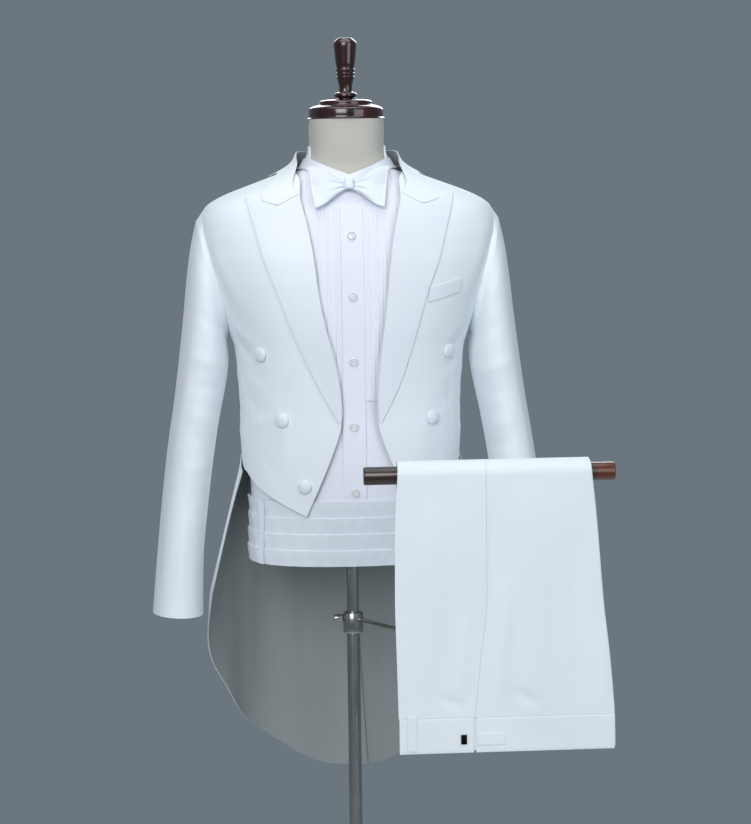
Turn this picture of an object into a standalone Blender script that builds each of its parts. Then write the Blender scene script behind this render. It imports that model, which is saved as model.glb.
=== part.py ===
"""A white tailcoat suit on its dress stand, with the trousers over a rail.

The cloth follows one surface, the inner face of the coat, which the tables below give by
height. Every layer of cloth is that surface moved in or out by a few millimetres.
Metres, +Z up, the viewer at -Y, the origin under the pole on the floor.
"""
import bpy
import bmesh
import numpy as np
from math import atan2, cos, degrees, pi, radians, sin, sqrt
from mathutils import Matrix, Vector

COLLECTION = "tuxedo"

# Cloth, as distances out from the coat's inner face
COAT = (0.0, 0.0020)
LAPEL = (0.0034, 0.0050)
COLLAR = (0.0028, 0.0046)
COLLAR_LIFT = 0.0022
COLLAR_TUCK = 0.0125
SHIRT = (-0.0100, -0.0085)
BIB = (-0.0077, -0.0063)
PLACKET = (-0.0077, -0.0060)
SHIRT_COLLAR = (-0.0120, -0.0103)
TIE_BAND = (-0.0091, -0.0079)
CUMMERBUND = (-0.0070, -0.0048)
FORM = -0.0155
FORM_NECK = 0.0030
SEAM = 0.0003
WELT = (0.0026, 0.0042)
CUMMERBUND_BACK = (-0.0070, -0.0050)
CUMMERBUND_STRIP = (-0.0025, -0.0013)
PLACKET_END = (-0.0081, -0.0077)
ON_COAT = 0.0026

# Armhole, an oval on the side of the body
ARM_ANGLE = 90.0
ARM_SPREAD = 25.0
ARM_HEIGHT = 1.267
ARM_REACH = 0.095

# Seams round the body, in degrees from the front
SIDE_SEAM = 72.0
BACK_SEAM_TOP = 110.0
BACK_SEAM_TURN = 20.0
CENTRE_BACK = 180.0
BACK_CROWDING = 1.25
WAIST_FRONT = 0.957
WAIST_BACK = 0.985
CENTRE_SWAY = 0.008
SWAY_TOP = 1.25
SWAY_REACH = 0.20
BACK_SEAM_BEND = 1.17
PANEL_LENGTH = 0.45
SIDE_BODY_WIDTH = 0.11
SIDE_BODY_LENGTH = 0.22
FIGURE_SQUARE = 0.05
FIGURE_RADIUS = 0.08

# Stand
POLE_RADIUS = 0.0093
LOWER_POLE_RADIUS = 0.0103
BASE_RADIUS = 0.185
SOCKET_TOP = 0.055
SOCKET_FOOT = 0.030
POLE_JOIN = 0.693
CLAMP_RADIUS = 0.0160
CLAMP_TOP = 0.7255
SCREW_LEVEL = 0.7160
SCREW_END = 0.0300
SCREW_RADIUS = 0.0062
FORM_FOOT = 0.822
FORM_TOP = 1.495
ARM_RADIUS = 0.0032
UPRIGHT_RADIUS = 0.0060
ARM_LEVEL = 0.7155
BAR_HEIGHT = 0.980
BAR_RADIUS = 0.01325
BAR_START = 0.001
BAR_END = 0.367
BAR_DEPTH = -0.28
BAR_MIDDLE = (BAR_START + BAR_END) / 2

# Trousers
TROUSER_FOOT = 0.573
TROUSER_REAR = 0.735
WAISTBAND_TOP = 0.625
UNDER_LEG = (BAR_RADIUS + 0.0008, BAR_RADIUS + 0.0056)
OUTER_LEG = (BAR_RADIUS + 0.0060, BAR_RADIUS + 0.0076)
WAISTBAND = (0.0060, 0.0084)
ON_BAND = (0.0088, 0.0103)
FASTENER = (0.0088, 0.0108)

# Inner face of the coat: height, half width, front depth, back depth
FIGURE = (
    (0.780, 0.166, 0.110, 0.120),
    (0.830, 0.167, 0.112, 0.119),
    (0.900, 0.1645, 0.113, 0.114),
    (0.950, 0.166, 0.113, 0.109),
    (1.000, 0.169, 0.112, 0.104),
    (1.050, 0.1695, 0.114, 0.102),
    (1.100, 0.171, 0.118, 0.106),
    (1.150, 0.176, 0.122, 0.113),
    (1.180, 0.187, 0.124, 0.118),
    (1.210, 0.199, 0.124, 0.122),
    (1.250, 0.215, 0.122, 0.125),
    (1.285, 0.225, 0.118, 0.125),
    (1.320, 0.230, 0.110, 0.122),
    (1.345, 0.227, 0.102, 0.117),
    (1.365, 0.216, 0.093, 0.110),
    (1.380, 0.188, 0.085, 0.103),
    (1.395, 0.147, 0.078, 0.094),
    (1.410, 0.106, 0.073, 0.084),
    (1.425, 0.081, 0.071, 0.075),
    (1.445, 0.070, 0.070, 0.070),
    (1.520, 0.070, 0.070, 0.070),
)

# Skirt that the tails hang from: height, half width, front depth, back depth
SKIRT = (
    (0.420, 0.217, 0.112, 0.158),
    (0.540, 0.222, 0.112, 0.160),
    (0.620, 0.224, 0.112, 0.160),
    (0.700, 0.224, 0.112, 0.157),
    (0.760, 0.221, 0.112, 0.152),
    (0.810, 0.210, 0.112, 0.145),
    (0.870, 0.195, 0.113, 0.132),
    (0.920, 0.182, 0.113, 0.118),
    (0.960, 0.1715, 0.113, 0.109),
    (0.985, 0.1685, 0.112, 0.1055),
    (1.000, 0.169, 0.112, 0.104),
    (1.050, 0.1695, 0.114, 0.102),
)

# Coat front: side seam angle and height, front edge from the centre and its height
FRONT_ROWS = (
    (90.0, 1.362, 0.0900, 1.421),
    (75.7, 1.345, 0.0755, 1.405),
    (66.5, 1.2995, 0.0750, 1.375),
    (65.4, 1.2505, 0.0660, 1.337),
    (72.0, 1.201, 0.0570, 1.286),
    (72.0, 1.150, 0.0465, 1.200),
    (72.0, 1.100, 0.0340, 1.140),
    (72.0, 1.050, 0.0275, 1.085),
    (72.0, 1.010, 0.0275, 1.036),
    (72.0, 0.985, 0.0455, 0.980),
    (72.0, 0.957, 0.0820, 0.895),
)

# Coat back: side edge angle and height, inner edge angle and height
BACK_ROWS = (
    (90.0, 1.362, 90.0, 1.421),
    (104.3, 1.345, 135.0, 1.421),
    (113.5, 1.2995, 180.0, 1.421),
    (114.6, 1.2505, 180.0, 1.360),
    (110.0, 1.210, 180.0, 1.280),
    (110.0, 1.170, 180.0, 1.200),
    (118.0, 1.110, 180.0, 1.120),
    (131.0, 1.045, 180.0, 1.050),
    (135.0, 0.985, 180.0, 0.985),
)

# Tail: outer edge angle and height, inner edge angle and height
TAIL_ROWS = (
    (75.0, 0.9570, 179.9, 0.9846),
    (79.0, 0.920, 181.0, 0.930),
    (82.0, 0.870, 182.0, 0.870),
    (85.0, 0.800, 183.0, 0.790),
    (91.0, 0.735, 184.0, 0.710),
    (103.0, 0.660, 185.0, 0.630),
    (116.0, 0.600, 186.0, 0.560),
    (130.0, 0.545, 187.0, 0.495),
    (145.0, 0.499, 188.0, 0.438),
)
TAIL_HEM_DROP = 0.022
TAIL_TUCK = 0.0042
TAIL_GAP = 0.0014
TAIL_WAVE = 0.0075
TAIL_WAVE_ANGLE = 40.0
TAIL_WAVE_TOP = 0.93
TAIL_WAVE_REACH = 0.40
TAIL_EDGE_ANGLE = 188.0
TAIL_OVERLAP = 4.5
TAIL_HEM_START = 0.7
TAIL_WAIST_SHARE = 0.05
TAIL_TUCK_START = 160.0
TAIL_TUCK_TURN = 17.0

# Lapel: roll line from the centre and its height, outer edge from the centre and its height
LAPEL_ROWS = (
    (0.0780, 1.3795, 0.1560, 1.3775),
    (0.0735, 1.3620, 0.1490, 1.3500),
    (0.0670, 1.3370, 0.1430, 1.3300),
    (0.0580, 1.2860, 0.1300, 1.2830),
    (0.0530, 1.2390, 0.1120, 1.2360),
    (0.0450, 1.1900, 0.0960, 1.1880),
    (0.0370, 1.1450, 0.0800, 1.1430),
    (0.0300, 1.1000, 0.0620, 1.0980),
    (0.0280, 1.0650, 0.0450, 1.0630),
    (0.0285, 1.0410, 0.0315, 1.0380),
)
LAPEL_TOP_DIP = 0.0145
LAPEL_NOTCH = 0.65
LAPEL_TOP_SHARE = 1 / 7
WELT_TOP = ((0.1150, 1.2385), (0.1645, 1.2535))
WELT_FOOT = ((0.1120, 1.2185), (0.1615, 1.2325))

# Collar, from the centre back to its end: fold angle and height, leaf edge angle and height
COLLAR_ROWS = (
    (180.0, 1.4440, 180.0, 1.4000),
    (140.0, 1.4440, 140.0, 1.4010),
    (110.0, 1.4440, 108.0, 1.4040),
    (85.0, 1.4400, 84.0, 1.4060),
    (62.0, 1.4270, 64.0, 1.4020),
    (40.0, 1.4040, 50.0, 1.3870),
    (26.0, 1.3850, 41.5, 1.3735),
)
COLLAR_END = 0.0520
COLLAR_END_SHARE = 0.82
GORGE_GAP = 0.0009
COLLAR_FRONT_SHARE = 0.6
COLLAR_TUCK_START = 125.0
COLLAR_TUCK_TURN = 40.0

# Sleeve rings below the armhole: outer x and z, inner x and z, middle y, half depth
SLEEVE_ROWS = (
    (0.2335, 1.342, 0.1895, 1.160, 0.000, 0.060),
    (0.2430, 1.300, 0.1885, 1.147, 0.000, 0.066),
    (0.2500, 1.250, 0.1875, 1.130, 0.000, 0.070),
    (0.2560, 1.195, 0.1890, 1.110, -0.002, 0.071),
    (0.2640, 1.130, 0.1945, 1.080, -0.004, 0.070),
    (0.2730, 1.065, 0.2040, 1.035, -0.006, 0.067),
    (0.2850, 0.990, 0.2140, 0.975, -0.010, 0.062),
    (0.2945, 0.915, 0.2235, 0.905, -0.016, 0.058),
    (0.3035, 0.833, 0.2320, 0.829, -0.024, 0.053),
    (0.3125, 0.741, 0.2345, 0.736, -0.033, 0.048),
)
SLEEVE_WALL = 0.0020
SLEEVE_EASE = 0.984
SLEEVE_HEAD = 0.07

# Trouser leg over the rail: height on the front fall, left edge, seam, right edge
LEG_EDGES = (
    (0.573, 0.0475, 0.1570, 0.3630),
    (0.625, 0.0465, 0.1580, 0.3625),
    (0.705, 0.0450, 0.1660, 0.3560),
    (0.790, 0.0430, 0.1770, 0.3460),
    (0.920, 0.0445, 0.1765, 0.3360),
    (0.995, 0.0500, 0.1770, 0.3280),
    (1.300, 0.0520, 0.1775, 0.3220),
)

# Bow tie, which leans back along the throat
BOW_MIDDLE = 1.3955
BOW_DEPTH = -0.0732
BOW_SLOPE = 0.75
BOW_UPPER_SLOPE = 0.15
KNOT_SLOPE = 0.42
BOW_HALF = 0.060
BOW_WAIST = 0.0068
BOW_END = 0.0285
BOW_SLANT = 0.0045
BOW_DROOP = 0.004
BOW_SHIFT = -0.002
BOW_GATHER = 0.0011
KNOT_SIZE = (0.0150, 0.0072, 0.0175)

# Heights of the shirt's rows, which the bib and the placket share
SHIRT_LEVELS = (0.830, 0.900, 0.990, 1.030, 1.075, 1.150, 1.220, 1.270, 1.310, 1.340, 1.355)
BIB_FOOT = 1.07
BIB_TOP = 1.366
BIB_INNER = 0.0185
BIB_OUTER = 0.0700
PLEATS = (0.0215, 0.0265, 0.0345, 0.0395, 0.0475, 0.0525)
PLEAT_HALF = 0.0013
PLEAT_RISE = 0.0008
PLACKET_HALF = 0.0175
PLACKET_FOOT = (0.834, 0.900, 0.919, 0.921)
PLACKET_STEP = 0.920
NECKLINE = (1.371, 1.421)
NECKLINE_TURN = 52.0
SHIRT_ARMHOLE_TURN = 22.0
SHIRT_ARMHOLE_INSET = 0.004
COLLAR_V = 1.4130
COLLAR_SLANT = 0.026
COLLAR_SLANT_TURN = 60.0
COLLAR_CORNER = 0.015
COLLAR_CORNER_TURN = 20.0
COLLAR_SEAM = 0.0009
TIE_MIDDLE = (1.4005, 1.4320)
TIE_TURN = 60.0
TIE_HALF = 0.0065
STRAP_SPAN = (0.8365, 0.8965)
STRIP_SPAN = (0.8170, 0.9160)
STRIP_ANGLES = (54.5, 58.5)
CUMMERBUND_SPAN = (0.8165, 0.9165)
CUMMERBUND_TURN = 93.0
CUMMERBUND_PLEATS = 4
PLEAT_STEP = 0.012
CUMMERBUND_RISE = 0.0021

# Coat buttons, from the centre and their height
BUTTONS = ((0.142, 1.142), (0.1155, 1.042), (0.084, 0.941))
BUTTON_SHIFT = (0.002, 0.006)
BUTTON_RADIUS = 0.0107
BUTTON_THICKNESS = 0.0050
TOP_BUTTON_LIFT = 0.0005
STUD_HEIGHTS = (1.321, 1.229, 1.130, 1.031, 0.930)
STUD_RADIUS = 0.0062
STUD_THICKNESS = 0.0026
STUD_SEAT = -0.0055

# Round pieces that are turned about the pole: radius and height
BASE_PROFILE = (
    (0.0, 0.0),
    (BASE_RADIUS, 0.0),
    (BASE_RADIUS, 0.006),
    (BASE_RADIUS - 0.008, 0.010),
    (0.060, 0.018),
    (0.024, 0.022),
    (0.024, SOCKET_TOP - 0.003),
    (0.021, SOCKET_TOP),
    (LOWER_POLE_RADIUS + 0.001, SOCKET_TOP),
    (LOWER_POLE_RADIUS + 0.001, SOCKET_FOOT),
    (0.0, SOCKET_FOOT),
)
CLAMP_PROFILE = (
    (POLE_RADIUS + SEAM, POLE_JOIN + 2 * SEAM),
    (CLAMP_RADIUS - 0.001, POLE_JOIN + 2 * SEAM),
    (CLAMP_RADIUS, 0.6960),
    (CLAMP_RADIUS, 0.7230),
    (CLAMP_RADIUS - 0.0015, CLAMP_TOP),
    (POLE_RADIUS + SEAM, CLAMP_TOP),
    (POLE_RADIUS + SEAM, POLE_JOIN + 2 * SEAM),
)
CAP_FOOT = FORM_TOP + SEAM
CAP_PROFILE = (
    (0.0, CAP_FOOT),
    (0.0555, CAP_FOOT),
    (0.0572, CAP_FOOT + 0.003),
    (0.0572, CAP_FOOT + 0.013),
    (0.0545, CAP_FOOT + 0.017),
    (0.0470, CAP_FOOT + 0.020),
    (0.0405, CAP_FOOT + 0.0215),
    (0.0400, CAP_FOOT + 0.026),
    (0.0340, CAP_FOOT + 0.0285),
    (0.0150, CAP_FOOT + 0.0300),
    (0.0110, 1.5262),
    (0.0155, 1.5275),
    (0.0175, 1.5310),
    (0.0155, 1.5345),
    (0.0105, 1.5365),
    (0.0102, 1.5450),
    (0.0125, 1.5550),
    (0.0142, 1.5590),
    (0.0128, 1.5605),
    (0.0146, 1.5640),
    (0.0131, 1.5660),
    (0.0150, 1.5695),
    (0.0136, 1.5725),
    (0.0150, 1.5800),
    (0.0165, 1.5950),
    (0.0177, 1.6070),
    (0.0168, 1.6120),
    (0.0120, 1.6165),
    (0.0090, 1.6180),
    (0.0, 1.6180),
)

# Flat pieces on the trousers: left, foot, right, top
WAISTBAND_BACK = (0.0475, TROUSER_FOOT, 0.1560, WAISTBAND_TOP)
WAISTBAND_FRONT = (0.1595, TROUSER_FOOT, 0.3628, WAISTBAND_TOP)
BELT_LOOP = (0.0590, 0.5765, 0.0735, 0.6300)
SIDE_TAB = (0.1610, 0.5840, 0.2015, 0.6020)
WAIST_FASTENER = (0.1370, 0.5860, 0.1455, 0.6000)


def smoothed(table, step=0.002, reach=7):
    """Read a table at even heights and round its corners by a running mean."""
    rows = np.array(table)
    heights = np.arange(rows[0, 0], rows[-1, 0], step)
    kernel = np.ones(reach) / reach
    columns = [heights]
    for index in range(1, rows.shape[1]):
        values = np.interp(heights, rows[:, 0], rows[:, index])
        padded = np.pad(values, reach // 2, mode="edge")
        columns.append(np.convolve(padded, kernel, mode="valid"))
    return columns


FIGURE_CURVES = smoothed(FIGURE)
SKIRT_CURVES = smoothed(SKIRT, reach=11)


def ease(value):
    """Go from 0 to 1 with soft ends."""
    value = min(max(value, 0.0), 1.0)
    return value * value * (3 - 2 * value)


def between(start, end, share):
    return start + (end - start) * share


def row_at(rows, share):
    """Read a table of rows at a share of its length, along a smooth curve."""
    last = len(rows) - 1
    place = min(max(share, 0.0), 1.0) * last
    index = min(int(place), last - 1)
    t = place - index
    before = np.array(rows[max(index - 1, 0)])
    start = np.array(rows[index])
    end = np.array(rows[index + 1])
    after = np.array(rows[min(index + 2, last)])
    bend = 2 * before - 5 * start + 4 * end - after
    twist = -before + 3 * start - 3 * end + after
    return 0.5 * (2 * start + (end - before) * t + bend * t * t + twist * t ** 3)


def skin(curves, angle, height):
    """Give the point of a body surface at an angle from the front, in degrees."""
    heights, widths, fronts, backs = curves
    turn = radians(angle)
    depths = fronts if cos(turn) > 0 else backs
    width = np.interp(height, heights, widths)
    depth = np.interp(height, heights, depths)
    swell = 1 + FIGURE_SQUARE * sin(2 * turn) ** 2
    return Vector((width * sin(turn) * swell, -depth * cos(turn) * swell, height))


def surface(curves, angle, height, out=0.0):
    """Move a point of a body surface out along its normal."""
    turn = 0.5
    rise = 0.004
    across = skin(curves, angle + turn, height) - skin(curves, angle - turn, height)
    along = skin(curves, angle, height + rise) - skin(curves, angle, height - rise)
    return skin(curves, angle, height) + across.cross(along).normalized() * out


def figure(angle, height, out=0.0):
    return surface(FIGURE_CURVES, angle, height, out)


def angle_of(across, height):
    """Find the angle of the figure that lies a distance from the centre plane."""
    low = 0.0
    high = 90.0
    for _ in range(24):
        middle = (low + high) / 2
        if skin(FIGURE_CURVES, middle, height).x < across:
            low = middle
        else:
            high = middle
    return high


def material(name, colour, roughness, metallic=0.0):
    made = bpy.data.materials.new(name)
    made.use_nodes = True
    shader = made.node_tree.nodes["Principled BSDF"]
    shader.inputs["Base Color"].default_value = (*colour, 1.0)
    shader.inputs["Roughness"].default_value = roughness
    shader.inputs["Metallic"].default_value = metallic
    return made


FINISHES = {
    "coat_cloth": ((0.78, 0.82, 0.86), 0.75, 0.0),
    "satin": ((0.82, 0.86, 0.92), 0.35, 0.0),
    "shirt_cloth": ((0.84, 0.86, 0.93), 0.8, 0.0),
    "shirt_stud": ((0.75, 0.76, 0.80), 0.2, 0.0),
    "form_linen": ((0.55, 0.54, 0.48), 0.85, 0.0),
    "mahogany": ((0.035, 0.004, 0.006), 0.2, 0.0),
    "dark_wood": ((0.03, 0.016, 0.012), 0.3, 0.0),
    "steel": ((0.55, 0.54, 0.52), 0.25, 1.0),
    "black_metal": ((0.02, 0.02, 0.022), 0.4, 1.0),
}


def add(name, mesh, finish, smooth=True):
    """Close a mesh into a named object of the garment."""
    bmesh.ops.recalc_face_normals(mesh, faces=mesh.faces[:])
    if mesh.calc_volume(signed=True) < 0:
        bmesh.ops.reverse_faces(mesh, faces=mesh.faces[:])
    data = bpy.data.meshes.new(name)
    mesh.to_mesh(data)
    mesh.free()
    if smooth:
        data.shade_smooth()
        data.set_sharp_from_angle(angle=radians(50))
    made = bpy.data.objects.new(name, data)
    made_material = bpy.data.materials.get(finish)
    if made_material is None:
        made_material = material(finish, *FINISHES[finish])
    made.data.materials.append(made_material)
    bpy.data.collections[COLLECTION].objects.link(made)
    return made


def wall(name, place, across, along, finish):
    """Make one closed wall of cloth from a grid, each point set by place(u, v, w)."""
    mesh = bmesh.new()
    bmesh.ops.create_grid(mesh, x_segments=across, y_segments=along, size=0.5)
    bmesh.ops.solidify(mesh, geom=mesh.faces[:], thickness=1.0)
    for vert in mesh.verts:
        u, v, w = vert.co
        vert.co = place(u + 0.5, v + 0.5, 1.0 if abs(w) > 0.5 else 0.0)
    return add(name, mesh, finish)


def tube(name, place, sides, rings, finish):
    """Make a closed wall round a hollow: a grid that runs down outside and back inside."""
    steps = 2 * rings + 2
    mesh = bmesh.new()
    bmesh.ops.create_grid(mesh, x_segments=sides, y_segments=steps, size=0.5)
    for vert in mesh.verts:
        turn = (vert.co.x + 0.5) % 1.0
        step = round((vert.co.y + 0.5) * steps) % steps
        outside = step <= rings
        ring = step if outside else steps - 1 - step
        vert.co = place(turn, ring / rings, 1.0 if outside else 0.0)
    bmesh.ops.remove_doubles(mesh, verts=mesh.verts[:], dist=1e-6)
    return add(name, mesh, finish)


def turned(name, profile, finish, sides=40):
    """Spin a closed profile of (radius, height) pairs about the pole's axis."""
    mesh = bmesh.new()
    verts = [mesh.verts.new((radius, 0.0, height)) for radius, height in profile]
    edges = [mesh.edges.new(pair) for pair in zip(verts, verts[1:])]
    bmesh.ops.spin(mesh, geom=verts + edges, cent=(0, 0, 0), axis=(0, 0, 1), dvec=(0, 0, 0),
                   angle=2 * pi, steps=sides, use_merge=True, use_duplicate=False)
    bmesh.ops.remove_doubles(mesh, verts=mesh.verts[:], dist=1e-6)
    return add(name, mesh, finish)


def rod(name, start, end, radius, finish, sides=14):
    """Make a round bar between two points, its ends a little rounded."""
    start = Vector(start)
    end = Vector(end)
    mesh = bmesh.new()
    bmesh.ops.create_cone(mesh, cap_ends=True, segments=sides, radius1=radius, radius2=radius,
                          depth=(end - start).length)
    rims = [edge for edge in mesh.edges if abs(edge.verts[0].co.z - edge.verts[1].co.z) < 1e-6]
    bmesh.ops.bevel(mesh, geom=rims, offset=radius * 0.18, segments=1, profile=0.5,
                    affect="EDGES", material=-1)
    turn = (end - start).to_track_quat("Z", "Y").to_matrix().to_4x4()
    bmesh.ops.transform(mesh, matrix=Matrix.Translation((start + end) / 2) @ turn,
                        verts=mesh.verts[:])
    return add(name, mesh, finish)


def disc(name, centre, facing, radius, thickness, finish, sides=12):
    """Make a small domed button that faces out from the cloth."""
    mesh = bmesh.new()
    bmesh.ops.create_cone(mesh, cap_ends=True, segments=sides, radius1=radius,
                          radius2=radius * 0.7, depth=thickness)
    lift = Matrix.Translation((0, 0, thickness / 2))
    turn = facing.to_track_quat("Z", "Y").to_matrix().to_4x4()
    bmesh.ops.transform(mesh, matrix=Matrix.Translation(centre) @ turn @ lift,
                        verts=mesh.verts[:])
    return add(name, mesh, finish)


def mirror_x(point, side):
    return Vector((side * point.x, point.y, point.z))


def trimmed(share, width, gap=SEAM):
    """Pull both ends of a 0 to 1 share in by half a seam's gap."""
    inset = gap / 2 / max(width, gap)
    return inset + share * (1 - 2 * inset)


def figure_sheet(curves, side, ends, layer, shape=None):
    """Make place(u, v, w) for a panel between two edges of a body surface.

    ends(v) gives the outer edge's angle and height and then the inner edge's.
    shape(u, v, angle, height) moves a point out, and a second value drops it.
    """
    def place(u, v, w):
        v = trimmed(v, PANEL_LENGTH)
        angle_a, height_a, angle_b, height_b = ends(v)
        start = surface(curves, angle_a, height_a)
        width = (surface(curves, angle_b, height_b) - start).length
        u = trimmed(u, width)
        angle = between(angle_a, angle_b, u)
        height = between(height_a, height_b, u)
        inner, outer = layer
        rise = 0.0
        if shape is not None:
            rise, drop = shape(u, v, w, angle, height)
            height -= drop
        point = surface(curves, angle, height, between(inner, outer, w) + rise)
        return mirror_x(point, side)
    return place


def waist_height(angle):
    """Give the height of the waist seam, which rises from the side to the back."""
    return between(WAIST_FRONT, WAIST_BACK, ease((angle - SIDE_SEAM) / (BACK_SEAM_TOP - SIDE_SEAM)))


def sway(side, height):
    """Shift the front edges to the viewer's right below the chest, as the coat hangs."""
    return side * CENTRE_SWAY * ease((SWAY_TOP - height) / SWAY_REACH)


def edge_angle(side, across, height):
    return angle_of(across + sway(side, height), height)


def armhole_foot(angle):
    """Give the height of the armhole's lower half at an angle."""
    share = (angle - ARM_ANGLE) / ARM_SPREAD
    return ARM_HEIGHT - ARM_REACH * sqrt(max(1 - share * share, 0.0))


def back_seam(height):
    """Give the angle of the seam between the side and the back."""
    drop = BACK_SEAM_BEND - height
    return BACK_SEAM_TOP + BACK_SEAM_TURN * ease(drop / (BACK_SEAM_BEND - WAIST_BACK))


def coat_front(side, label):
    def ends(v):
        angle, height, across, low = row_at(FRONT_ROWS, v)
        if height < armhole_foot(SIDE_SEAM):
            angle = SIDE_SEAM
        return angle, height, edge_angle(side, across, low), low
    place = figure_sheet(FIGURE_CURVES, side, ends, COAT)
    wall("coat_front_" + label, place, 7, 16, "coat_cloth")


def coat_side(side, label):
    def place(u, v, w):
        u = trimmed(u, SIDE_BODY_WIDTH, 3 * SEAM)
        v = trimmed(v, SIDE_BODY_LENGTH)
        top_angle = between(SIDE_SEAM, BACK_SEAM_TOP, u)
        foot_angle = between(SIDE_SEAM, back_seam(WAIST_BACK), u)
        height = between(waist_height(foot_angle), armhole_foot(top_angle), v)
        angle = between(SIDE_SEAM, back_seam(height), u)
        return mirror_x(figure(angle, height, between(*COAT, w)), side)
    wall("coat_side_" + label, place, 4, 6, "coat_cloth")


def coat_back(side, label):
    def ends(v):
        angle, height, inner, low = row_at(BACK_ROWS, v ** BACK_CROWDING)
        if height < armhole_foot(BACK_SEAM_TOP):
            angle = back_seam(height)
        return angle, height, min(inner, CENTRE_BACK), min(low, BACK_ROWS[0][3])
    place = figure_sheet(FIGURE_CURVES, side, ends, COAT)
    wall("coat_back_" + label, place, 6, 15, "coat_cloth")


def tail_fold(angle, height):
    """Give how far a tail's soft folds stand out at a point."""
    grown = ease((TAIL_WAVE_TOP - height) / TAIL_WAVE_REACH)
    return TAIL_WAVE * grown * cos(2 * pi * (angle - CENTRE_BACK) / TAIL_WAVE_ANGLE)


def coat_tail(side, label):
    tuck = TAIL_TUCK if side < 0 else 0.0
    reach = 0.0 if side < 0 else TAIL_OVERLAP

    def ends(v):
        angle, height, inner, low = row_at(TAIL_ROWS, v)
        return angle, height, min(inner, TAIL_EDGE_ANGLE) - reach * ease(v * 4), low

    def shape(u, v, w, angle, height):
        drop = TAIL_HEM_DROP * sin(pi * u) * ease((v - TAIL_HEM_START) / (1 - TAIL_HEM_START))
        if v < TAIL_WAIST_SHARE:
            lift = 1 - v / TAIL_WAIST_SHARE
            drop = (height - waist_height(angle)) * lift + TAIL_GAP
        inside = tuck * ease((angle - TAIL_TUCK_START) / TAIL_TUCK_TURN)
        return tail_fold(angle, height) - inside, drop
    place = figure_sheet(SKIRT_CURVES, side, ends, COAT, shape)
    wall("coat_tail_" + label, place, 14, 12, "coat_cloth")


def sleeve_ring(row):
    """Turn a row of the sleeve table into its outer, inner and middle points."""
    outer_x, outer_z, inner_x, inner_z, middle_y, half_depth = row
    outer = Vector((outer_x, middle_y, outer_z))
    inner = Vector((inner_x, middle_y, inner_z))
    return outer, inner, half_depth


def sleeve_point(turn, share):
    """Give a point on the outside of a sleeve, share 0 at the armhole and 1 at the cuff."""
    tilt = 2 * pi * turn
    angle = ARM_ANGLE - ARM_SPREAD * SLEEVE_EASE * sin(tilt)
    height = ARM_HEIGHT + ARM_REACH * SLEEVE_EASE * cos(tilt)
    seam = figure(angle, height, ON_COAT)
    row = row_at(SLEEVE_ROWS, (share - SLEEVE_HEAD) / (1 - SLEEVE_HEAD))
    outer, inner, half_depth = sleeve_ring(row)
    middle = (outer + inner) / 2
    ring = middle + (outer - middle) * cos(tilt) - Vector((0, half_depth, 0)) * sin(tilt)
    if share >= SLEEVE_HEAD:
        return ring, middle
    centre = figure(ARM_ANGLE, ARM_HEIGHT, ON_COAT)
    return seam.lerp(ring, share / SLEEVE_HEAD), centre.lerp(middle, share / SLEEVE_HEAD)


def sleeve(side, label):
    def place(turn, share, w):
        point, middle = sleeve_point(turn, share)
        inward = (middle - point).normalized()
        return mirror_x(point + inward * SLEEVE_WALL * (1 - w), side)
    tube("sleeve_" + label, place, 16, 10, "coat_cloth")


def lapel(side, label):
    def place(u, v, w):
        roll, roll_height, edge, edge_height = row_at(LAPEL_ROWS, v)
        dip = LAPEL_TOP_DIP * sin(pi * u ** LAPEL_NOTCH) * ease(1 - v / LAPEL_TOP_SHARE)
        height = between(roll_height, edge_height, u) - dip
        angle = edge_angle(side, between(roll, edge, u), height)
        return mirror_x(figure(angle, height, between(*LAPEL, w)), side)
    wall("lapel_" + label, place, 6, 15, "satin")


def gorge(across):
    """Give the height of the lapel's top edge, which the collar's end lies along."""
    roll, roll_height, edge, edge_height = LAPEL_ROWS[0]
    share = min(max((across - roll) / (edge - roll), 0.0), 1.0)
    return between(roll_height, edge_height, share) - LAPEL_TOP_DIP * sin(pi * share ** LAPEL_NOTCH)


def coat_collar():
    def place(u, v, w):
        side = 1 if u > 0.5 else -1
        share = abs(u - 0.5) * 2
        fold_angle, fold_height, leaf_angle, leaf_height = row_at(COLLAR_ROWS, share)
        angle = between(fold_angle, leaf_angle, v)
        height = between(fold_height, leaf_height, v)
        across = LAPEL_ROWS[0][0] + COLLAR_END * v
        end_height = gorge(across) + GORGE_GAP
        ended = ease((share - COLLAR_END_SHARE) / (1 - COLLAR_END_SHARE))
        angle = between(angle, angle_of(across, end_height), ended)
        height = between(height, end_height, ended)
        lift = COLLAR_LIFT * (1 - ease((share - COLLAR_FRONT_SHARE) / (1 - COLLAR_FRONT_SHARE)))
        tuck = 0.0 if v > 0 else COLLAR_TUCK + COLLAR_LIFT
        tuck *= ease((angle - COLLAR_TUCK_START) / COLLAR_TUCK_TURN)
        return mirror_x(figure(angle, height, between(*COLLAR, w) + lift - tuck), side)
    wall("coat_collar", place, 24, 4, "coat_cloth")


def welt_pocket():
    def place(u, v, w):
        upper = [between(a, b, u) for a, b in zip(*WELT_TOP)]
        lower = [between(a, b, u) for a, b in zip(*WELT_FOOT)]
        across = between(lower[0], upper[0], v)
        height = between(lower[1], upper[1], v)
        return figure(angle_of(across, height), height, between(*WELT, w))
    wall("welt_pocket", place, 6, 2, "satin")


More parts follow.
